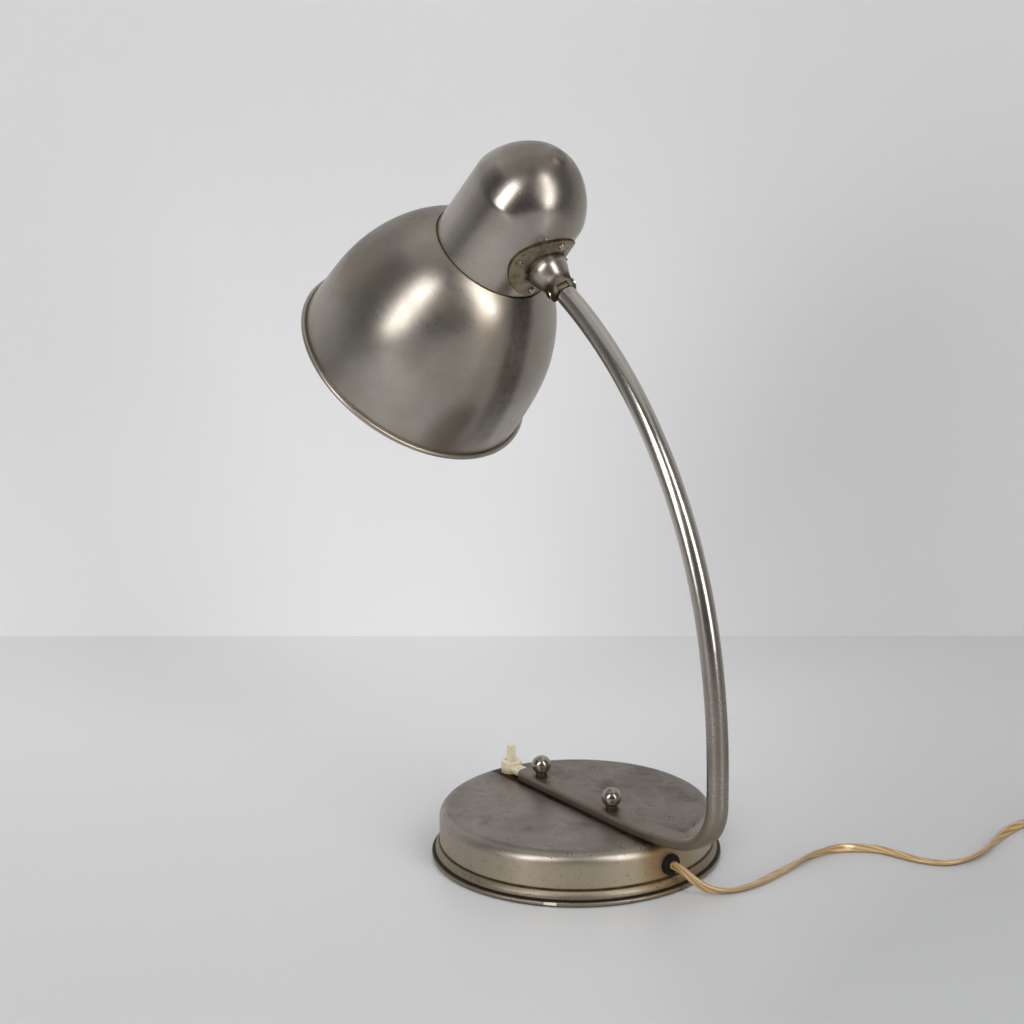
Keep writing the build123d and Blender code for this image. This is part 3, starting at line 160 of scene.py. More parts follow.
# Worn nickel
# nickel_painted_sheen paints reflections and highlights brighter; nickel_warm tints the base wall,
# partly with painted light
nickel_painted_sheen = (0.56, 0.525, 0.475, 1.0)
nickel_pale = (0.365, 0.332, 0.292, 1.0)
nickel_dull = (0.25, 0.218, 0.182, 1.0)
nickel_warm = (0.52, 0.44, 0.31, 1.0)
nickel_yellow = (0.33, 0.255, 0.15, 1.0)
nickel_dark = (0.055, 0.04, 0.026, 1.0)
nickel_spot = (0.035, 0.022, 0.012, 1.0)
bar_brown = (0.155, 0.115, 0.078, 1.0)
rust_brown = (0.30, 0.165, 0.06, 1.0)

# A chip in the plating at the foot's edge: its colour, its height and the direction of its length
chip_colour = (0.66, 0.60, 0.48, 1.0)
chip_height = 0.0022
chip_along = (0.7243, 0.6895, 0.0)


class Val:
    """A shader value. Arithmetic on it adds Math nodes."""

    def __init__(self, sheet, socket):
        self.sheet = sheet
        self.socket = socket

    def _join(self, operation, *values):
        return self.sheet.node("ShaderNodeMath", {"operation": operation}, values)

    def __add__(self, other):
        return self._join("ADD", self, other)

    def __radd__(self, other):
        return self._join("ADD", other, self)

    def __sub__(self, other):
        return self._join("SUBTRACT", self, other)

    def __rsub__(self, other):
        return self._join("SUBTRACT", other, self)

    def __mul__(self, other):
        return self._join("MULTIPLY", self, other)

    def __rmul__(self, other):
        return self._join("MULTIPLY", other, self)

    def __truediv__(self, other):
        return self._join("DIVIDE", self, other)

    def abs(self):
        return self._join("ABSOLUTE", self)

    def sine(self):
        return self._join("SINE", self)

    def clamp(self, low=0.0, high=1.0):
        return self._join("MINIMUM", self._join("MAXIMUM", self, low), high)

    def step(self, low, high):
        """0 below low, 1 above high, eased between."""
        share = ((self - low) * (1.0 / (high - low))).clamp()
        return share * share * (3.0 - 2.0 * share)

    def drop(self, low, high):
        """1 below low, 0 above high, eased between."""
        return 1.0 - self.step(low, high)

    def near(self, middle, inner, outer):
        """1 within inner of the middle, 0 beyond outer, eased between."""
        return (self - middle).abs().drop(inner, outer)


class Sheet:
    """One material's node tree and its Principled shader."""

    def __init__(self, name):
        self.material = bpy.data.materials.new(name)
        self.material.use_nodes = True
        self.tree = self.material.node_tree
        self.tree.nodes.clear()
        self.out = self.tree.nodes.new("ShaderNodeOutputMaterial")
        self.shader = self.tree.nodes.new("ShaderNodeBsdfPrincipled")
        self.tree.links.new(self.shader.outputs[0], self.out.inputs["Surface"])

    def put(self, socket, value):
        """Link a shader value, or set a plain one."""
        if isinstance(value, Val):
            self.tree.links.new(value.socket, socket)
        else:
            socket.default_value = value

    def node(self, kind, settings, values, output=0):
        """A new node with its settings and inputs, as the value of one output."""
        made = self.tree.nodes.new(kind)
        for key, value in settings.items():
            setattr(made, key, value)
        if isinstance(values, dict):
            for key, value in values.items():
                self.put(made.inputs[key], value)
        else:
            for index, value in enumerate(values):
                self.put(made.inputs[index], value)
        return Val(self, made.outputs[output])

    def set(self, **values):
        """Set the Principled shader's inputs by name."""
        for name, value in values.items():
            self.put(self.shader.inputs[name.replace("_", " ")], value)
        return self

    def place(self):
        return self.node("ShaderNodeTexCoord", {}, {}, "Object")

    def vector(self, operation, *values, output=0):
        return self.node("ShaderNodeVectorMath", {"operation": operation}, values, output)

    def dot(self, one, two):
        return self.vector("DOT_PRODUCT", one, two, output="Value")

    def distance(self, where, point):
        return self.vector("DISTANCE", where, tuple(point), output="Value")

    def noise(self, where, scale, detail=2.0, roughness=0.5, offset=0.0):
        if offset:
            where = self.vector("ADD", where, (offset, offset * 0.7, offset * 1.3))
        values = {"Vector": where, "Scale": scale, "Detail": detail, "Roughness": roughness}
        return self.node("ShaderNodeTexNoise", {}, values)

    def cells(self, where, scale):
        return self.node("ShaderNodeTexVoronoi", {}, {"Vector": where, "Scale": scale}, "Distance")

    def mix(self, share, one, two):
        settings = {"data_type": "RGBA"}
        return self.node("ShaderNodeMix", settings, {0: share, 6: one, 7: two}, 2)

    def combine(self, x, y, z):
        return self.node("ShaderNodeCombineXYZ", {}, (x, y, z))

    def split(self, where):
        made = self.tree.nodes.new("ShaderNodeSeparateXYZ")
        self.put(made.inputs[0], where)
        return [Val(self, made.outputs[index]) for index in range(3)]

    def high(self, where):
        """The height alone."""
        return self.split(where)[2]

    def bump(self, height, distance, strength=1.0):
        values = {"Height": height, "Distance": distance, "Strength": strength}
        self.put(self.shader.inputs["Normal"], self.node("ShaderNodeBump", {}, values))
        return self

    def turned(self, axis_at, axis_dir):
        """The place, the height along an axis and the distance from it, all in metres."""
        where = self.place()
        arm = self.vector("SUBTRACT", where, tuple(axis_at))
        height = self.dot(arm, tuple(axis_dir))
        values = {"Vector": tuple(axis_dir), "Scale": height}
        along = self.node("ShaderNodeVectorMath", {"operation": "SCALE"}, values)
        radius = self.vector("LENGTH", self.vector("SUBTRACT", arm, along), output="Value")
        return where, height, radius

    def clear_back(self):
        """Let the camera see through the sheet from behind."""
        clear = self.tree.nodes.new("ShaderNodeBsdfTransparent")
        behind = self.tree.nodes.new("ShaderNodeNewGeometry").outputs["Backfacing"]
        both = shader_mix(self.tree, behind, self.shader.outputs[0], clear.outputs[0])
        self.tree.links.new(both, self.out.inputs["Surface"])
        return self


def shader_mix(tree, share, one, two):
    """One shader where the share is 0 and the other where it is 1."""
    made = tree.nodes.new("ShaderNodeMixShader")
    for socket, source in zip(made.inputs, (share, one, two)):
        tree.links.new(source, socket)
    return made.outputs[0]


def worn_nickel(
    name, axis_at, axis_dir, rough, marks=1.0, spots=0.0, tarnish=None, grime_and_shade=None, wear_and_sheen=None
):
    """Satin nickel, spun round an axis: fine ring marks, dull patches, tarnish, grime with painted
    shade, spots, and painted sheen.

    Tarnish and grime_and_shade give shares, the second dirt and painted shade, and wear_and_sheen
    gives the last colour, roughness and metal, with wear and painted sheen. All three are told the
    place, the height along the axis and the distance from it.
    """
    sheet = Sheet(name)
    where, height, radius = sheet.turned(axis_at, axis_dir)
    rings = sheet.combine(height * 2400.0, radius * 2400.0, 0.0)
    ring = sheet.noise(rings, 1.0, 3.0, 0.65)
    wide_ring = sheet.noise(sheet.combine(height * 260.0, radius * 260.0, 0.0), 1.0, 2.0)
    patch = sheet.noise(where, 26.0, 5.0, 0.6)
    cloud = sheet.noise(where, 9.0, 3.0, 0.55, offset=3.0)
    grain = sheet.noise(where, 900.0, 2.0, 0.6, offset=1.0)
    dull = (patch.step(0.45, 0.70) * 0.55 + cloud.step(0.42, 0.68) * 0.45).clamp()
    colour = sheet.mix(dull, nickel_pale, nickel_dull)
    roughness = rough + 0.10 * dull + (ring - 0.5) * 0.16 * marks + (grain - 0.5) * 0.10
    if tarnish:
        uneven = 0.55 + 0.9 * sheet.noise(where, 60.0, 4.0, 0.65, offset=5.0)
        yellow = (tarnish(sheet, where, height, radius) * uneven).clamp()
        colour = sheet.mix(yellow, colour, nickel_yellow)
        roughness = roughness + 0.10 * yellow
    if spots:
        gate = sheet.noise(where, 150.0, 2.0, 0.5, offset=7.0).step(0.56, 0.68)
        spot = sheet.cells(where, 620.0).drop(0.16, 0.36) * gate * spots
        colour = sheet.mix(spot.clamp(), colour, nickel_spot)
        roughness = roughness + 0.25 * spot
    # Dirt and painted shade: this share darkens the colour towards nickel_dark.
    if grime_and_shade:
        uneven = 0.6 + 0.8 * sheet.noise(where, 180.0, 4.0, 0.7, offset=8.0)
        dirt_and_shade = (grime_and_shade(sheet, where, height, radius) * uneven).clamp()
        colour = sheet.mix(dirt_and_shade, colour, nickel_dark)
        roughness = roughness + 0.25 * dirt_and_shade
    metal = 1.0
    # The last colour carries wear and, on some parts, painted sheen or painted light.
    if wear_and_sheen:
        colour, roughness, metal = wear_and_sheen(sheet, where, height, radius, colour, roughness)
    sheet.set(Base_Color=colour, Metallic=metal, Roughness=roughness.clamp(0.12, 0.8))
    bumps = (ring * 0.5 + wide_ring * 0.35) * marks + grain * 0.22 * marks + patch * 0.3
    return sheet.bump(bumps, 0.00005, 0.55).material


def base_tarnish(sheet, where, height, radius):
    """Yellowing on the wall, under the rim's step and round the cable's hole."""
    z = sheet.high(where)
    step = z.near(0.0088, 0.0006, 0.0022) * radius.step(*edge_band)
    hole = sheet.distance(where, hole_stain_at).drop(0.007, 0.036)
    wall = radius.step(0.082, 0.084) * z.drop(*wall_end)
    return step * 0.5 + hole * 0.9 + wall * 0.30


def base_grime_and_painted_shade(sheet, where, height, radius):
    """A darker top, more so past the bar, with stains, a dark patch by the bar's end and a dark ring
    by the cable's hole; painted shade along the bar's sides, in the folds of the foot and low on the
    foot.
    """
    y, z = sheet.split(where)[1:]
    top = z.step(*top_start)
    worn = sheet.noise(where, 14.0, 3.0, 0.6, offset=13.0).step(0.35, 0.70)
    behind_bar = y.step(0.006, 0.010)
    # Painted shade on the top along the sides of the bar.
    beside_bar = y.near(0.0, 0.0080, 0.0115) * top
    stain = sheet.noise(where, 48.0, 4.0, 0.6, offset=11.0).step(0.52, 0.74) * top
    # Painted shade in the foot's step and fold and low down on the foot.
    step = z.near(foot_step, 0.0002, 0.0011)
    fold = z.near(foot_fold, 0.0002, 0.0010)
    foot = z.drop(0.0070, 0.0090) * 0.22 + z.drop(0.0008, 0.0016) * 0.6
    brown = sheet.distance(where, bar_end_at).drop(0.010, 0.034) * top
    ring = sheet.distance(where, hole_ring_at).drop(0.0064, 0.0092)
    wide = top * (0.20 + 0.16 * worn + 0.16 * behind_bar)
    lines = (step + fold + foot) * radius.step(*edge_band)
    return wide + beside_bar * 0.6 + stain * 0.22 + brown * 0.20 + lines * 0.9 + ring * 0.8


def base_wear_and_painted_light(sheet, where, height, radius, colour, roughness):
    """A warm wall, partly yellowing and partly painted light that grows towards +X, rust and dark
    flecks near the cable's hole, and the chip at the foot's edge.
    """
    x, y, z = sheet.split(where)
    cloud = sheet.noise(where, 9.0, 3.0, 0.55, offset=3.0)
    # Painted light: the wall's warm tint is lighter and grows towards +X.
    wall = radius.step(0.0820, 0.0845) * z.drop(*wall_end) * z.step(0.0098, 0.0110)
    wall = wall * (0.16 + 0.44 * x.step(-0.02, 0.07)) * (0.45 + cloud * 1.1)
    colour = sheet.mix(wall, colour, nickel_warm)
    mottle = sheet.noise(where, 210.0, 4.0, 0.65, offset=17.0)
    rust = sheet.distance(where, rust_at).drop(0.006, 0.019) * (0.25 + mottle)
    colour = sheet.mix((rust * radius.step(0.078, 0.082) * 0.75).clamp(), colour, rust_brown)
    fleck = sheet.cells(where, 430.0).drop(0.10, 0.24) * mottle.step(0.50, 0.62)
    colour = sheet.mix((fleck * radius.step(*edge_band)).clamp(0.0, 0.8), colour, nickel_spot)
    ragged = 0.0016 * (sheet.noise(where, 500.0, 3.0, 0.6) - 0.5)
    chip = (sheet.dot(where, chip_along).abs() + ragged * 2.0).drop(0.0036, 0.0040)
    chip = chip * ((z - chip_height).abs() + ragged).drop(0.0007, 0.0010)
    chip = chip * radius.step(0.0872, 0.0876) * y.drop(-0.001, 0.0)
    return sheet.mix(chip, colour, chip_colour), roughness, 1.0 - chip


def head_tarnish(sheet, where, height, radius):
    """Yellowing along the shade's edge, under the cap and in faint drips."""
    edge = height.drop(0.0, 0.012)
    seam = height.near(seam_stain, 0.0012, 0.0055)
    drip = sheet.noise(where, 30.0, 4.0, 0.6, offset=9.0).step(0.46, 0.72)
    return edge * 0.30 + seam * 0.25 + drip * 0.34


def head_painted_shade_lines(height):
    """Painted shade: a dark line in the seam where the cap meets the shade, and in the crease over
    the rolled rim.
    """
    seam = height.near(seam_line, 0.0001, 0.0006)
    rim = height.near(rim_roll, 0.0002, 0.0009)
    return seam * 0.8 + rim * 0.55


def shade_painted_shade(sheet, where, height, radius):
    """Painted shade: the dark lines, a painted dark reflection high on the shade and in a stripe
    down its side next to the arm, and a slight darkening all over.
    """
    outward = sheet.vector("NORMALIZE", sheet.vector("SUBTRACT", where, tuple(shade_middle)))
    beside_arm = sheet.dot(outward, stripe_across).near(0.05, 0.07, 0.19)
    beside_arm = beside_arm * sheet.dot(outward, stripe_side).step(0.35, 0.70)
    upper = sheet.dot(outward, shade_top).step(0.70, 0.95)
    cloudy = sheet.noise(where, 22.0, 4.0, 0.6, offset=15.0)
    painted_dark_reflection = (beside_arm * 0.58 + upper * 0.34) * (0.5 + cloudy)
    return head_painted_shade_lines(height) + painted_dark_reflection + 0.05


def shade_painted_sheen(sheet, where, height, radius, colour, roughness):
    """Painted reflection: the shade is painted brighter low down."""
    return sheet.mix(height.drop(0.020, 0.060) * 0.30, colour, nickel_painted_sheen), roughness, 1.0


def cap_painted_shade(sheet, where, height, radius):
    """Painted shade: the dark lines, and the crown painted darker as a dark reflection."""
    return head_painted_shade_lines(height) + height.step(0.158, 0.176) * 0.36


def cap_painted_sheen(sheet, where, height, radius, colour, roughness):
    """Painted reflection: the cap is painted brighter low down."""
    return sheet.mix(height.drop(0.122, 0.150) * 0.38, colour, nickel_painted_sheen), roughness, 1.0


def arm_tarnish(sheet, where, height, radius):
    """Yellowing low on the bar and inside the bend."""
    low = sheet.high(where).drop(0.032, 0.0365)
    bend = sheet.distance(where, bend_inside_at).drop(0.012, 0.042)
    return low * 0.7 + bend * 0.35


def arm_grime_and_painted_shade(sheet, where, height, radius):
    """Painted shade along the foot of the bar and round its two nuts, and dirt stains low on the
    arm.
    """
    z = sheet.high(where)
    # Painted shade at the foot of the bar and round the nuts.
    low = z.drop(0.0318, 0.0336)
    first = sheet.distance(where, first_nut_at).step(0.0038, 0.0072)
    second = sheet.distance(where, second_nut_at).step(0.0038, 0.0072)
    nuts = 2.0 - first - second
    stain = sheet.noise(where, 75.0, 4.0, 0.65, offset=12.0).step(0.55, 0.75)
    return low * 0.6 + nuts * 0.7 + stain * z.drop(0.040, 0.060) * 0.30


def arm_tone_and_painted_sheen(sheet, where, height, radius, colour, roughness):
    """A dull brown bar, a browner lower tube, and the tube painted lighter as it rises, a painted
    highlight.
    """
    z = sheet.high(where)
    bar = z.drop(*upright_start)
    high = z.step(*tube_rise)
    low = 1.0 - high
    colour = sheet.mix(bar * 0.42 + low * 0.16, colour, bar_brown)
    # Painted highlight: the upper tube is painted lighter.
    colour = sheet.mix(high * 0.7, colour, nickel_painted_sheen)
    return colour, roughness + 0.20 * bar + 0.07 * low, 1.0


def plate_tarnish(sheet, where, height, radius):
    """Yellowing all over the plate, most at its edge."""
    return 0.50 + 0.35 * radius.step(0.0180, 0.0225)


def plate_grime(sheet, where, height, radius):
    """A dark edge round the plate, a dark ring where the knuckle meets it, and soil between."""
    soil = sheet.noise(where, 140.0, 4.0, 0.7, offset=16.0).step(0.42, 0.66)
    edge = radius.step(0.0226, 0.0229)
    ring = radius.drop(0.0122, 0.0155)
    return edge * 0.75 + ring * 0.75 + soil * 0.35


def knuckle_grime(sheet, where, height, radius):
    """Dark dirt over the barrel and its two ends, and where the stem meets the plate."""
    barrel = height.drop(0.001, 0.007)
    ends = sheet.distance(where, hinge_at).step(0.0078, 0.0098) * height.drop(0.003, 0.008)
    return barrel * 0.80 + ends * 0.4 + height.step(0.0125, 0.0170) * 0.5


def polished_nickel(name):
    """Bright nickel for the ball nuts and the small screws, with painted shade in the nuts' necks
    under the balls.
    """
    sheet = Sheet(name)
    where = sheet.place()
    patch = sheet.noise(where, 160.0, 4.0, 0.6)
    colour = sheet.mix(patch.step(0.4, 0.75), (0.42, 0.38, 0.33, 1.0), (0.25, 0.205, 0.155, 1.0))
    z = sheet.high(where)
    # Painted shade: the neck under each ball is painted dark.
    painted_neck_shade = z.drop(0.0400, 0.0420) * z.step(0.0370, 0.0378)
    colour = sheet.mix(painted_neck_shade * 0.9, colour, nickel_dark)
    sheet.set(Base_Color=colour, Metallic=1.0, Roughness=0.17 + 0.12 * patch + 0.25 * painted_neck_shade)
    return sheet.bump(patch, 0.00003, 0.4).material


def plain_metal(name, colour, rough):
    """A small hidden fitting: even metal with a fine drawn grain."""
    sheet = Sheet(name)
    where = sheet.place()
    grain = sheet.noise(where, 700.0, 3.0, 0.6)
    patch = sheet.noise(where, 90.0, 3.0, 0.6, offset=2.0)
    dark = tuple(part * 0.72 for part in colour[:3]) + (1.0,)
    sheet.set(Base_Color=sheet.mix(patch, colour, dark), Metallic=1.0)
    sheet.set(Roughness=rough + 0.14 * (grain - 0.5))
    return sheet.bump(grain, 0.00004, 0.5).material


def cast_iron(name):
    """Rough dark iron for the parts that give weight and hold."""
    sheet = Sheet(name)
    grain = sheet.noise(sheet.place(), 420.0, 5.0, 0.7)
    colour = sheet.mix(grain, (0.055, 0.05, 0.045, 1.0), (0.13, 0.11, 0.09, 1.0))
    sheet.set(Base_Color=colour, Metallic=0.6, Roughness=0.62 + 0.2 * (grain - 0.5))
    return sheet.bump(grain, 0.0003, 0.8).material


def felt(name):
    """Dark green felt."""
    sheet = Sheet(name)
    where = sheet.place()
    fibre = sheet.noise(where, 1500.0, 5.0, 0.75)
    cloud = sheet.noise(where, 60.0, 3.0, 0.6, offset=4.0)
    share = fibre * 0.6 + cloud * 0.4
    colour = sheet.mix(share, (0.018, 0.03, 0.022, 1.0), (0.06, 0.085, 0.065, 1.0))
    sheet.set(Base_Color=colour, Roughness=0.95)
    return sheet.bump(fibre, 0.0004, 0.9).material


def black_rubber(name):
    """Dull black rubber with a little dust."""
    sheet = Sheet(name)
    dust = sheet.noise(sheet.place(), 500.0, 4.0, 0.7)
    share = dust.step(0.5, 0.8)
    colour = sheet.mix(share, (0.003, 0.003, 0.003, 1.0), (0.018, 0.015, 0.012, 1.0))
    sheet.set(Base_Color=colour, Roughness=0.55 + 0.3 * dust, Specular_IOR_Level=0.25)
    return sheet.bump(dust, 0.0001, 0.5).material


def ivory(name):
    """Aged cream plastic with brown stains, browner and darker low down."""
    sheet = Sheet(name)
    where = sheet.place()
    cloud = sheet.noise(where, 150.0, 4.0, 0.6)
    stain = sheet.noise(where, 330.0, 4.0, 0.7, offset=6.0).step(0.52, 0.74)
    low = sheet.high(where).drop(0.0325, 0.0365)
    grime_and_shade = (stain * 0.5 + low * 0.75).clamp()
    colour = sheet.mix(cloud, (0.72, 0.63, 0.43, 1.0), (0.80, 0.73, 0.55, 1.0))
    colour = sheet.mix(grime_and_shade, colour, (0.36, 0.25, 0.12, 1.0))
    sheet.set(Base_Color=colour, Roughness=0.36 + 0.25 * grime_and_shade, Coat_Weight=0.15)
    return sheet.bump(cloud, 0.0001, 0.5).material


def moulded(name, colour, rough, shine=0.0):
    """Moulded plastic or porcelain, in one colour with slight clouds."""
    sheet = Sheet(name)
    where = sheet.place()
    grain = sheet.noise(where, 800.0, 3.0, 0.6)
    cloud = sheet.noise(where, 70.0, 3.0, 0.6, offset=2.0)
    other = tuple(min(1.0, part * 1.25 + 0.01) for part in colour[:3]) + (1.0,)
    sheet.set(Base_Color=sheet.mix(cloud, colour, other), Coat_Weight=shine)
    sheet.set(Roughness=rough + 0.12 * (grain - 0.5))
    return sheet.bump(grain, 0.00006, 0.6).material


def clear_glass(name):
    """Thin clear glass with a faint haze."""
    sheet = Sheet(name)
    haze = sheet.noise(sheet.place(), 30.0, 3.0, 0.5)
    sheet.set(Base_Color=sheet.mix(haze, (0.95, 0.95, 0.93, 1.0), (0.88, 0.88, 0.85, 1.0)))
    sheet.set(Roughness=0.03 + 0.05 * haze, Alpha=0.28 + 0.08 * haze)
    return sheet.material


def gold_flex(name):
    """Clear amber covering over twisted copper strands, with a dark seam between the wires."""
    strands_per_metre = 64.0
    strand_slant = 9.0
    sheet = Sheet(name)
    along, around = sheet.split(sheet.node("ShaderNodeTexCoord", {}, {}, "UV"))[:2]
    lay = along * strands_per_metre + around * strand_slant
    strand = ((lay * math.tau).sine() * 0.5 + 0.5).clamp()
    cloud = sheet.noise(sheet.place(), 120.0, 3.0, 0.6)
    from_middle = (around - 0.5).abs()
    seam = from_middle.step(0.42, 0.47) + from_middle.drop(0.02, 0.07)
    share = strand * 0.75 + 0.25 * cloud
    colour = sheet.mix(share, (0.30, 0.165, 0.055, 1.0), (0.66, 0.47, 0.22, 1.0))
    colour = sheet.mix(seam.clamp() * 0.45, colour, (0.25, 0.15, 0.06, 1.0))
    sheet.set(Base_Color=colour, Metallic=0.25, Roughness=0.30 + 0.15 * (1.0 - strand))
    sheet.set(Coat_Weight=0.7, Coat_Roughness=0.12)
    return sheet.bump(strand, 0.00008, 0.35).material


def paint(material, *names):
    """Give CAD nodes their material."""
    for name in names:
        data = nodes[name].data
        data.materials.clear()
        data.materials.append(material)


def paint_lamp():
    """Dress all the CAD nodes but the cord's."""
    base = worn_nickel(
        "base nickel", origin, up, 0.36, 1.0, 1.0, base_tarnish, base_grime_and_painted_shade, base_wear_and_painted_light
    )
    shade = worn_nickel(
        "head nickel", mouth_at, head_dir, 0.28, 1.0, 0.15, head_tarnish, shade_painted_shade, shade_painted_sheen
    )
    cap = worn_nickel(
        "cap nickel", mouth_at, head_dir, 0.22, 0.4, 0.15, head_tarnish, cap_painted_shade, cap_painted_sheen
    )
    arm = worn_nickel(
        "arm nickel", bend_at, bend_axis, 0.19, 0.25, 0.2, arm_tarnish, arm_grime_and_painted_shade, arm_tone_and_painted_sheen
    )
    knuckle = worn_nickel(
        "joint nickel", hinge_at, boss_dir, 0.30, 0.6, 0.3, grime_and_shade=knuckle_grime
    )
    plate = worn_nickel(
        "plate nickel", hinge_at, boss_dir, 0.36, 0.5, 0.8, plate_tarnish, plate_grime
    )
    paint(base, "base_shell")
    paint(shade, "shade")
    paint(cap, "cap")
    paint(arm, "arm_tube")
    paint(knuckle, "joint_boss", "arm_knuckle")
    paint(plate, "joint_plate")
    paint(polished_nickel("ball nickel"), "ball_nuts", "plate_screws", "pivot_screws")
    paint(
        plain_metal("plated steel", (0.45, 0.45, 0.44, 1.0), 0.34),
        "bottom_plate", "bottom_screw", "clamp_studs", "stud_washers", "stud_nuts", "lever_pin",
        "friction_washers", "swivel_spring", "swivel_nut", "holder_bracket", "bulb_cap",
    )
    paint(
        plain_metal("turned brass", (0.62, 0.45, 0.20, 1.0), 0.30),
        "switch_terminals", "holder_shell", "screw_shell", "centre_contact", "nipple",
        "nipple_nuts", "plug_pins",
    )
    paint(cast_iron("cast iron"), "base_weight", "saddle_block")
    paint(felt("green felt"), "felt_pad")
    paint(black_rubber("black rubber"), "cable_grommet")
    paint(ivory("aged ivory"), "switch_block", "switch_lever")
    paint(clear_glass("bulb glass"), "bulb_glass")
    plastics = [
        ("white wire", (0.55, 0.54, 0.50, 1.0), 0.5, 0.0, "switch_leads", "arm_lead", "head_lead"),
        ("porcelain", (0.72, 0.70, 0.65, 1.0), 0.22, 0.5, "holder_insert"),
        ("brown plastic", (0.035, 0.02, 0.012, 1.0), 0.3, 0.4, "cord_stop", "plug_body", "cord_tie"),
        ("black ring", (0.02, 0.018, 0.016, 1.0), 0.35, 0.3, "shade_rings"),
        ("amber wire", (0.42, 0.27, 0.11, 1.0), 0.35, 0.5, "base_lead"),
    ]
    for name, colour, rough, shine, *painted in plastics:
        paint(moulded(name, colour, rough, shine), *painted)


def add_object(name, data):
    """A new object in the scene."""
    made = bpy.data.objects.new(name, data)
    bpy.context.scene.collection.objects.link(made)
    return made


def ease(share):
    """0 to 1 in, 0 to 1 out, with soft ends."""
    return share * share * (3 - 2 * share)


def coil_points():
    """The coil's half turns as points, in on the table and out again on top."""
    step = coil_pitch / 2
    reach = [coil_first_radius - step * count for count in range(coil_turns_in + 2)]
    reach += [reach[-1] + step * (count + 1) for count in range(1, coil_turns_out + 1)]
    ends = []
    for count, radius in enumerate(reach):
        side = -1 if count % 2 == 0 else 1
        lift = 0.0 if count <= coil_turns_in else coil_layer
        ends.append(coil_start + Vector((coil_first_radius + side * radius, 0.0, lift)))
    made = [ends[0]]
    for count, (start, end) in enumerate(zip(ends, ends[1:])):
        heading = Vector((0.0, 1.0 if count % 2 == 0 else -1.0, 0.0))
        middle = (start + end) / 2
        half = (start - end) / 2
        for share in range(1, points_per_half_turn + 1):
            angle = math.pi * share / points_per_half_turn
            made.append(middle + half * math.cos(angle) + heading * half.length * math.sin(angle))
    return made


def nurbs_line(points):
    """Points along the smooth curve that has these as its control points."""
    curve = bpy.data.curves.new("cord line", "CURVE")
    curve.dimensions = "3D"
    spline = curve.splines.new("NURBS")
    spline.points.add(len(points) - 1)
    for slot, point in zip(spline.points, points):
        slot.co = (*point, 1.0)
    spline.order_u = 3
    spline.use_endpoint_u = True
    spline.resolution_u = 6
    line = add_object("cord line", curve)
    mesh = bpy.data.meshes.new_from_object(line)
    made = [vertex.co.copy() for vertex in mesh.vertices]
    bpy.data.objects.remove(line)
    bpy.data.meshes.remove(mesh)
    return made


def path_length(points):
    """Length of the line through the points."""
    return sum((after - before).length for before, after in zip(points, points[1:]))


def twist(share):
    """The flex's turn in radians at a share of its free length."""
    for (low, first), (high, second) in zip(twist_at, twist_at[1:]):
        if share <= high:
            return math.radians(first + (second - first) * ease((share - low) / (high - low)))
    return math.radians(twist_at[-1][1])


def sink(done, free_length):
    """0 in the grommet, 1 where the flex lies on the table, and 0 again in the coil."""
    if done >= free_length:
        return 0.0
    return ease(min(max((done - sink_start) / sink_length, 0.0), 1.0))


def flex_section():
    """Two round wires side by side, joined by a thin web, as (across, up) in metres."""
    made = []
    lobe = cord_width / 2 - wire_radius
    for index in range(section_points):
        angle = 2 * math.pi * index / section_points
        across = math.cos(angle)
        side = 1 if across >= 0 else -1
        reach = wire_radius * (1 - web_waist * (1 - abs(across)) ** 3)
        shift = side * lobe * min(1.0, abs(across) * wire_part)
        made.append((shift + wire_radius * across, reach * math.sin(angle)))
    return made


def cord_rings(line, free_length):
    """For each point of the line: length so far, the flex's centre, and its wide and thin ways."""
    lobe = cord_width / 2 - wire_radius
    made = []
    done = 0.0
    for index, point in enumerate(line):
        before = line[max(index - 1, 0)]
        after = line[min(index + 1, len(line) - 1)]
        along = (after - before).normalized()
        if index:
            done += (point - before).length
        turn = twist(min(done / free_length, 1.0))
        flat = along.cross(up).normalized()
        tall = flat.cross(along).normalized()
        wide = flat * math.cos(turn) + tall * math.sin(turn)
        thin = tall * math.cos(turn) - flat * math.sin(turn)
        rest = wire_radius + lobe * abs(math.sin(turn)) + table_gap
        low = point.z + (min(point.z, rest) - point.z) * sink(done, free_length)
        made.append((done, Vector((point.x, point.y, low)), wide, thin))
    return made


def cord_mesh(rings):
    """The flex's closed skin. Its UV is the length in metres and the share of the way round."""
    section = flex_section()
    count = len(section)
    last = len(rings) - 1
    verts, faces = [], []
    for done, centre, wide, thin in rings:
        verts += [centre + wide * across + thin * high for across, high in section]
    for first in range(0, last * count, count):
        for index in range(count):
            after = (index + 1) % count
            near = (first + index, first + after)
            faces.append(near + (first + count + after, first + count + index))
    faces.append(tuple(reversed(range(count))))
    faces.append(tuple(range(last * count, (last + 1) * count)))
    mesh = bpy.data.meshes.new("cord")
    mesh.from_pydata(verts, [], faces)
    layer = mesh.uv_layers.new(name="flex")
    for face in mesh.polygons:
        face.use_smooth = True
        columns = {vertex % count for vertex in face.vertices}
        wraps = columns == {0, count - 1}
        for loop in face.loop_indices:
            ring, column = divmod(mesh.loops[loop].vertex_index, count)
            around = 1.0 if wraps and column == 0 else column / count
            layer.data[loop].uv = (rings[ring][0], around)
    return mesh


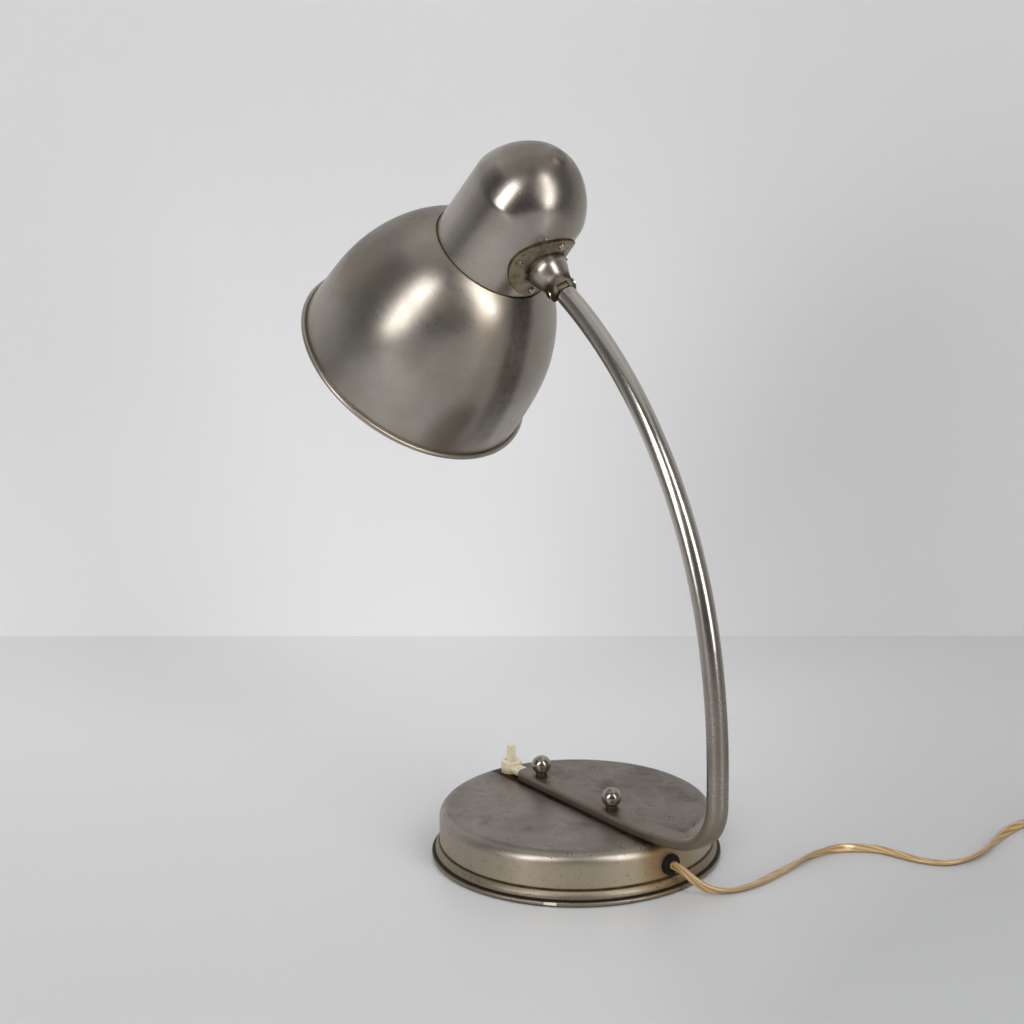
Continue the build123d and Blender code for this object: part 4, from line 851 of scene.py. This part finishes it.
def face_outwards(piece):
    """Turn the faces of a closed piece outwards."""
    bpy.context.view_layer.objects.active = piece
    for other in bpy.context.selected_objects:
        other.select_set(False)
    piece.select_set(True)
    bpy.ops.object.mode_set(mode="EDIT")
    bpy.ops.mesh.select_all(action="SELECT")
    bpy.ops.mesh.normals_make_consistent(inside=False)
    bpy.ops.object.mode_set(mode="OBJECT")


def make_cord():
    """The flex in one piece, from the grommet over the table and the coil to the plug."""
    route = [Vector(point) for point in cord_route]
    coil = coil_points()
    tail = [coil[-1] + Vector(step) for step in tail_route]
    free_length = path_length(nurbs_line(route + coil[:1]))
    rings = cord_rings(nurbs_line(route + coil + tail), free_length)
    path = [centre for done, centre, wide, thin in rings]
    mesh = cord_mesh(rings)
    mesh.materials.append(gold_flex("gold flex"))
    piece = add_object("cord_flex", mesh)
    face_outwards(piece)
    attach(piece, "stand")
    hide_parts("cord", "cord_coil", "cord_tail")
    path_length(path)


def table_painted_falloff(across, rise):
    """Painted falloff of light: darker towards the right and towards the near edge."""
    near = rise.drop(-1.05, -0.25)
    right = across.step(0.05, 1.0)
    return near * 0.62 + right * 0.55


def wall_painted_falloff(across, rise):
    """Painted falloff of light: darker towards the right and towards the top."""
    high = rise.step(-0.25, 1.0)
    right = across.step(-0.10, 0.85)
    return high * 0.50 * (1.0 - right) + 0.12 + right * 0.72


def stage_sheet(name, corners, bright, dim, fall, rough):
    """A flat sheet whose colour falls from bright to dim by a share worked out across the view, a
    painted falloff of light.
    """
    sheet = Sheet(name)
    where = sheet.place()
    ray = sheet.vector("SUBTRACT", where, tuple(camera_at))
    ahead = sheet.dot(ray, tuple(camera_forward))
    across = sheet.dot(ray, tuple(camera_forward.cross(camera_up).normalized())) / ahead
    rise = sheet.dot(ray, tuple(camera_up)) / ahead
    cloud = sheet.noise(where, 3.0, 2.0, 0.5) * 0.12
    share = fall(across / half_view, rise / half_view)
    sheet.set(Base_Color=sheet.mix((share + cloud).clamp(), bright, dim), Roughness=rough)
    mesh = bpy.data.meshes.new(name)
    mesh.from_pydata([tuple(corner) for corner in corners], [], [tuple(range(len(corners)))])
    mesh.materials.append(sheet.material)
    add_object(name, mesh)
    return sheet


def make_studio():
    """The table, and the wall behind it, which is clear from behind."""
    back = stage_away * wall_distance
    side = stage_along * stage_half_width
    near = stage_away * -table_near
    top = up * wall_height
    floor = [back - side, near - side, near + side, back + side]
    stage_sheet("table top", floor, table_bright, table_dim, table_painted_falloff, 0.42)
    wall = [back - side, back + side, back + side + top, back - side + top]
    stage_sheet("back wall", wall, wall_bright, wall_dim, wall_painted_falloff, 0.85).clear_back()


def aim(thing, at, right, back):
    """Put a lamp or camera at a place, looking away from back, with right on its right."""
    turn = Matrix((right, back.cross(right), back)).transposed().to_4x4()
    thing.matrix_world = Matrix.Translation(at) @ turn


def add_lamp(name, direction, distance, size, power, lean=(0.0, 0.0, 0.0)):
    """An area lamp whose long side stands upright or leans."""
    data = bpy.data.lights.new(name, "AREA")
    data.shape = "RECTANGLE"
    data.size = size[0]
    data.size_y = size[1]
    data.energy = power
    back = Vector(direction).normalized()
    right = (nearly_up + Vector(lean)).cross(back).normalized()
    aim(add_object(name, data), lamps_face + back * distance, right, back)


def background(tree, colour, strength):
    """A world shader of one colour."""
    made = tree.nodes.new("ShaderNodeBackground")
    made.inputs["Color"].default_value = colour
    made.inputs["Strength"].default_value = strength
    return made


def make_world():
    """Even light, a backdrop that fades in what the metal mirrors, and grey past the stage."""
    world = bpy.data.worlds.new("studio")
    bpy.context.scene.world = world
    world.use_nodes = True
    tree = world.node_tree
    tree.nodes.clear()
    light = background(tree, (1.0, 1.0, 1.0, 1.0), room_light)
    mirrored = background(tree, (1.0, 1.0, 1.0, 1.0), 1.0)
    seen = background(tree, room_grey, 1.0)
    place = tree.nodes.new("ShaderNodeTexCoord")
    facing = tree.nodes.new("ShaderNodeVectorMath")
    facing.operation = "DOT_PRODUCT"
    facing.inputs[1].default_value = backdrop_facing
    fade = tree.nodes.new("ShaderNodeMapRange")
    fade.interpolation_type = "SMOOTHSTEP"
    for name, value in backdrop_fade.items():
        fade.inputs[name].default_value = value
    tree.links.new(place.outputs["Generated"], facing.inputs[0])
    tree.links.new(facing.outputs["Value"], fade.inputs["Value"])
    tree.links.new(fade.outputs["Result"], mirrored.inputs["Color"])
    rays = tree.nodes.new("ShaderNodeLightPath").outputs
    unseen = shader_mix(tree, rays["Is Glossy Ray"], light.outputs[0], mirrored.outputs[0])
    shown = shader_mix(tree, rays["Is Camera Ray"], unseen, seen.outputs[0])
    out = tree.nodes.new("ShaderNodeOutputWorld")
    tree.links.new(shown, out.inputs["Surface"])


def make_lights():
    """Two tall softboxes and a wide sheet overhead, then the room's own light."""
    right_at, right_lean = (0.90, 0.07, 0.44), (-0.10, -0.30, 0.0)
    left_at, left_lean = (0.284, -0.867, 0.43), (0.45, 0.75, 0.0)
    add_lamp("right softbox", right_at, 1.8, (0.50, 1.6), 17.0, right_lean)
    add_lamp("left softbox", left_at, 1.9, (0.56, 1.6), 17.0, left_lean)
    add_lamp("top sheet", (-0.1, 0.1, 1.0), 1.7, (2.4, 2.4), 8.0)
    make_world()


def make_camera():
    """The photograph's view, in a square frame."""
    data = bpy.data.cameras.new("camera")
    data.sensor_width = sensor_mm
    data.sensor_height = sensor_mm
    data.sensor_fit = "HORIZONTAL"
    data.lens = lens_mm
    camera = add_object("camera", data)
    back = -camera_forward.normalized()
    aim(camera, camera_at, camera_up.cross(back).normalized(), back)
    bpy.context.scene.camera = camera


paint_lamp()
make_cord()
make_studio()
make_lights()
make_camera()

view = bpy.context.scene.view_settings
view.view_transform = "Standard"
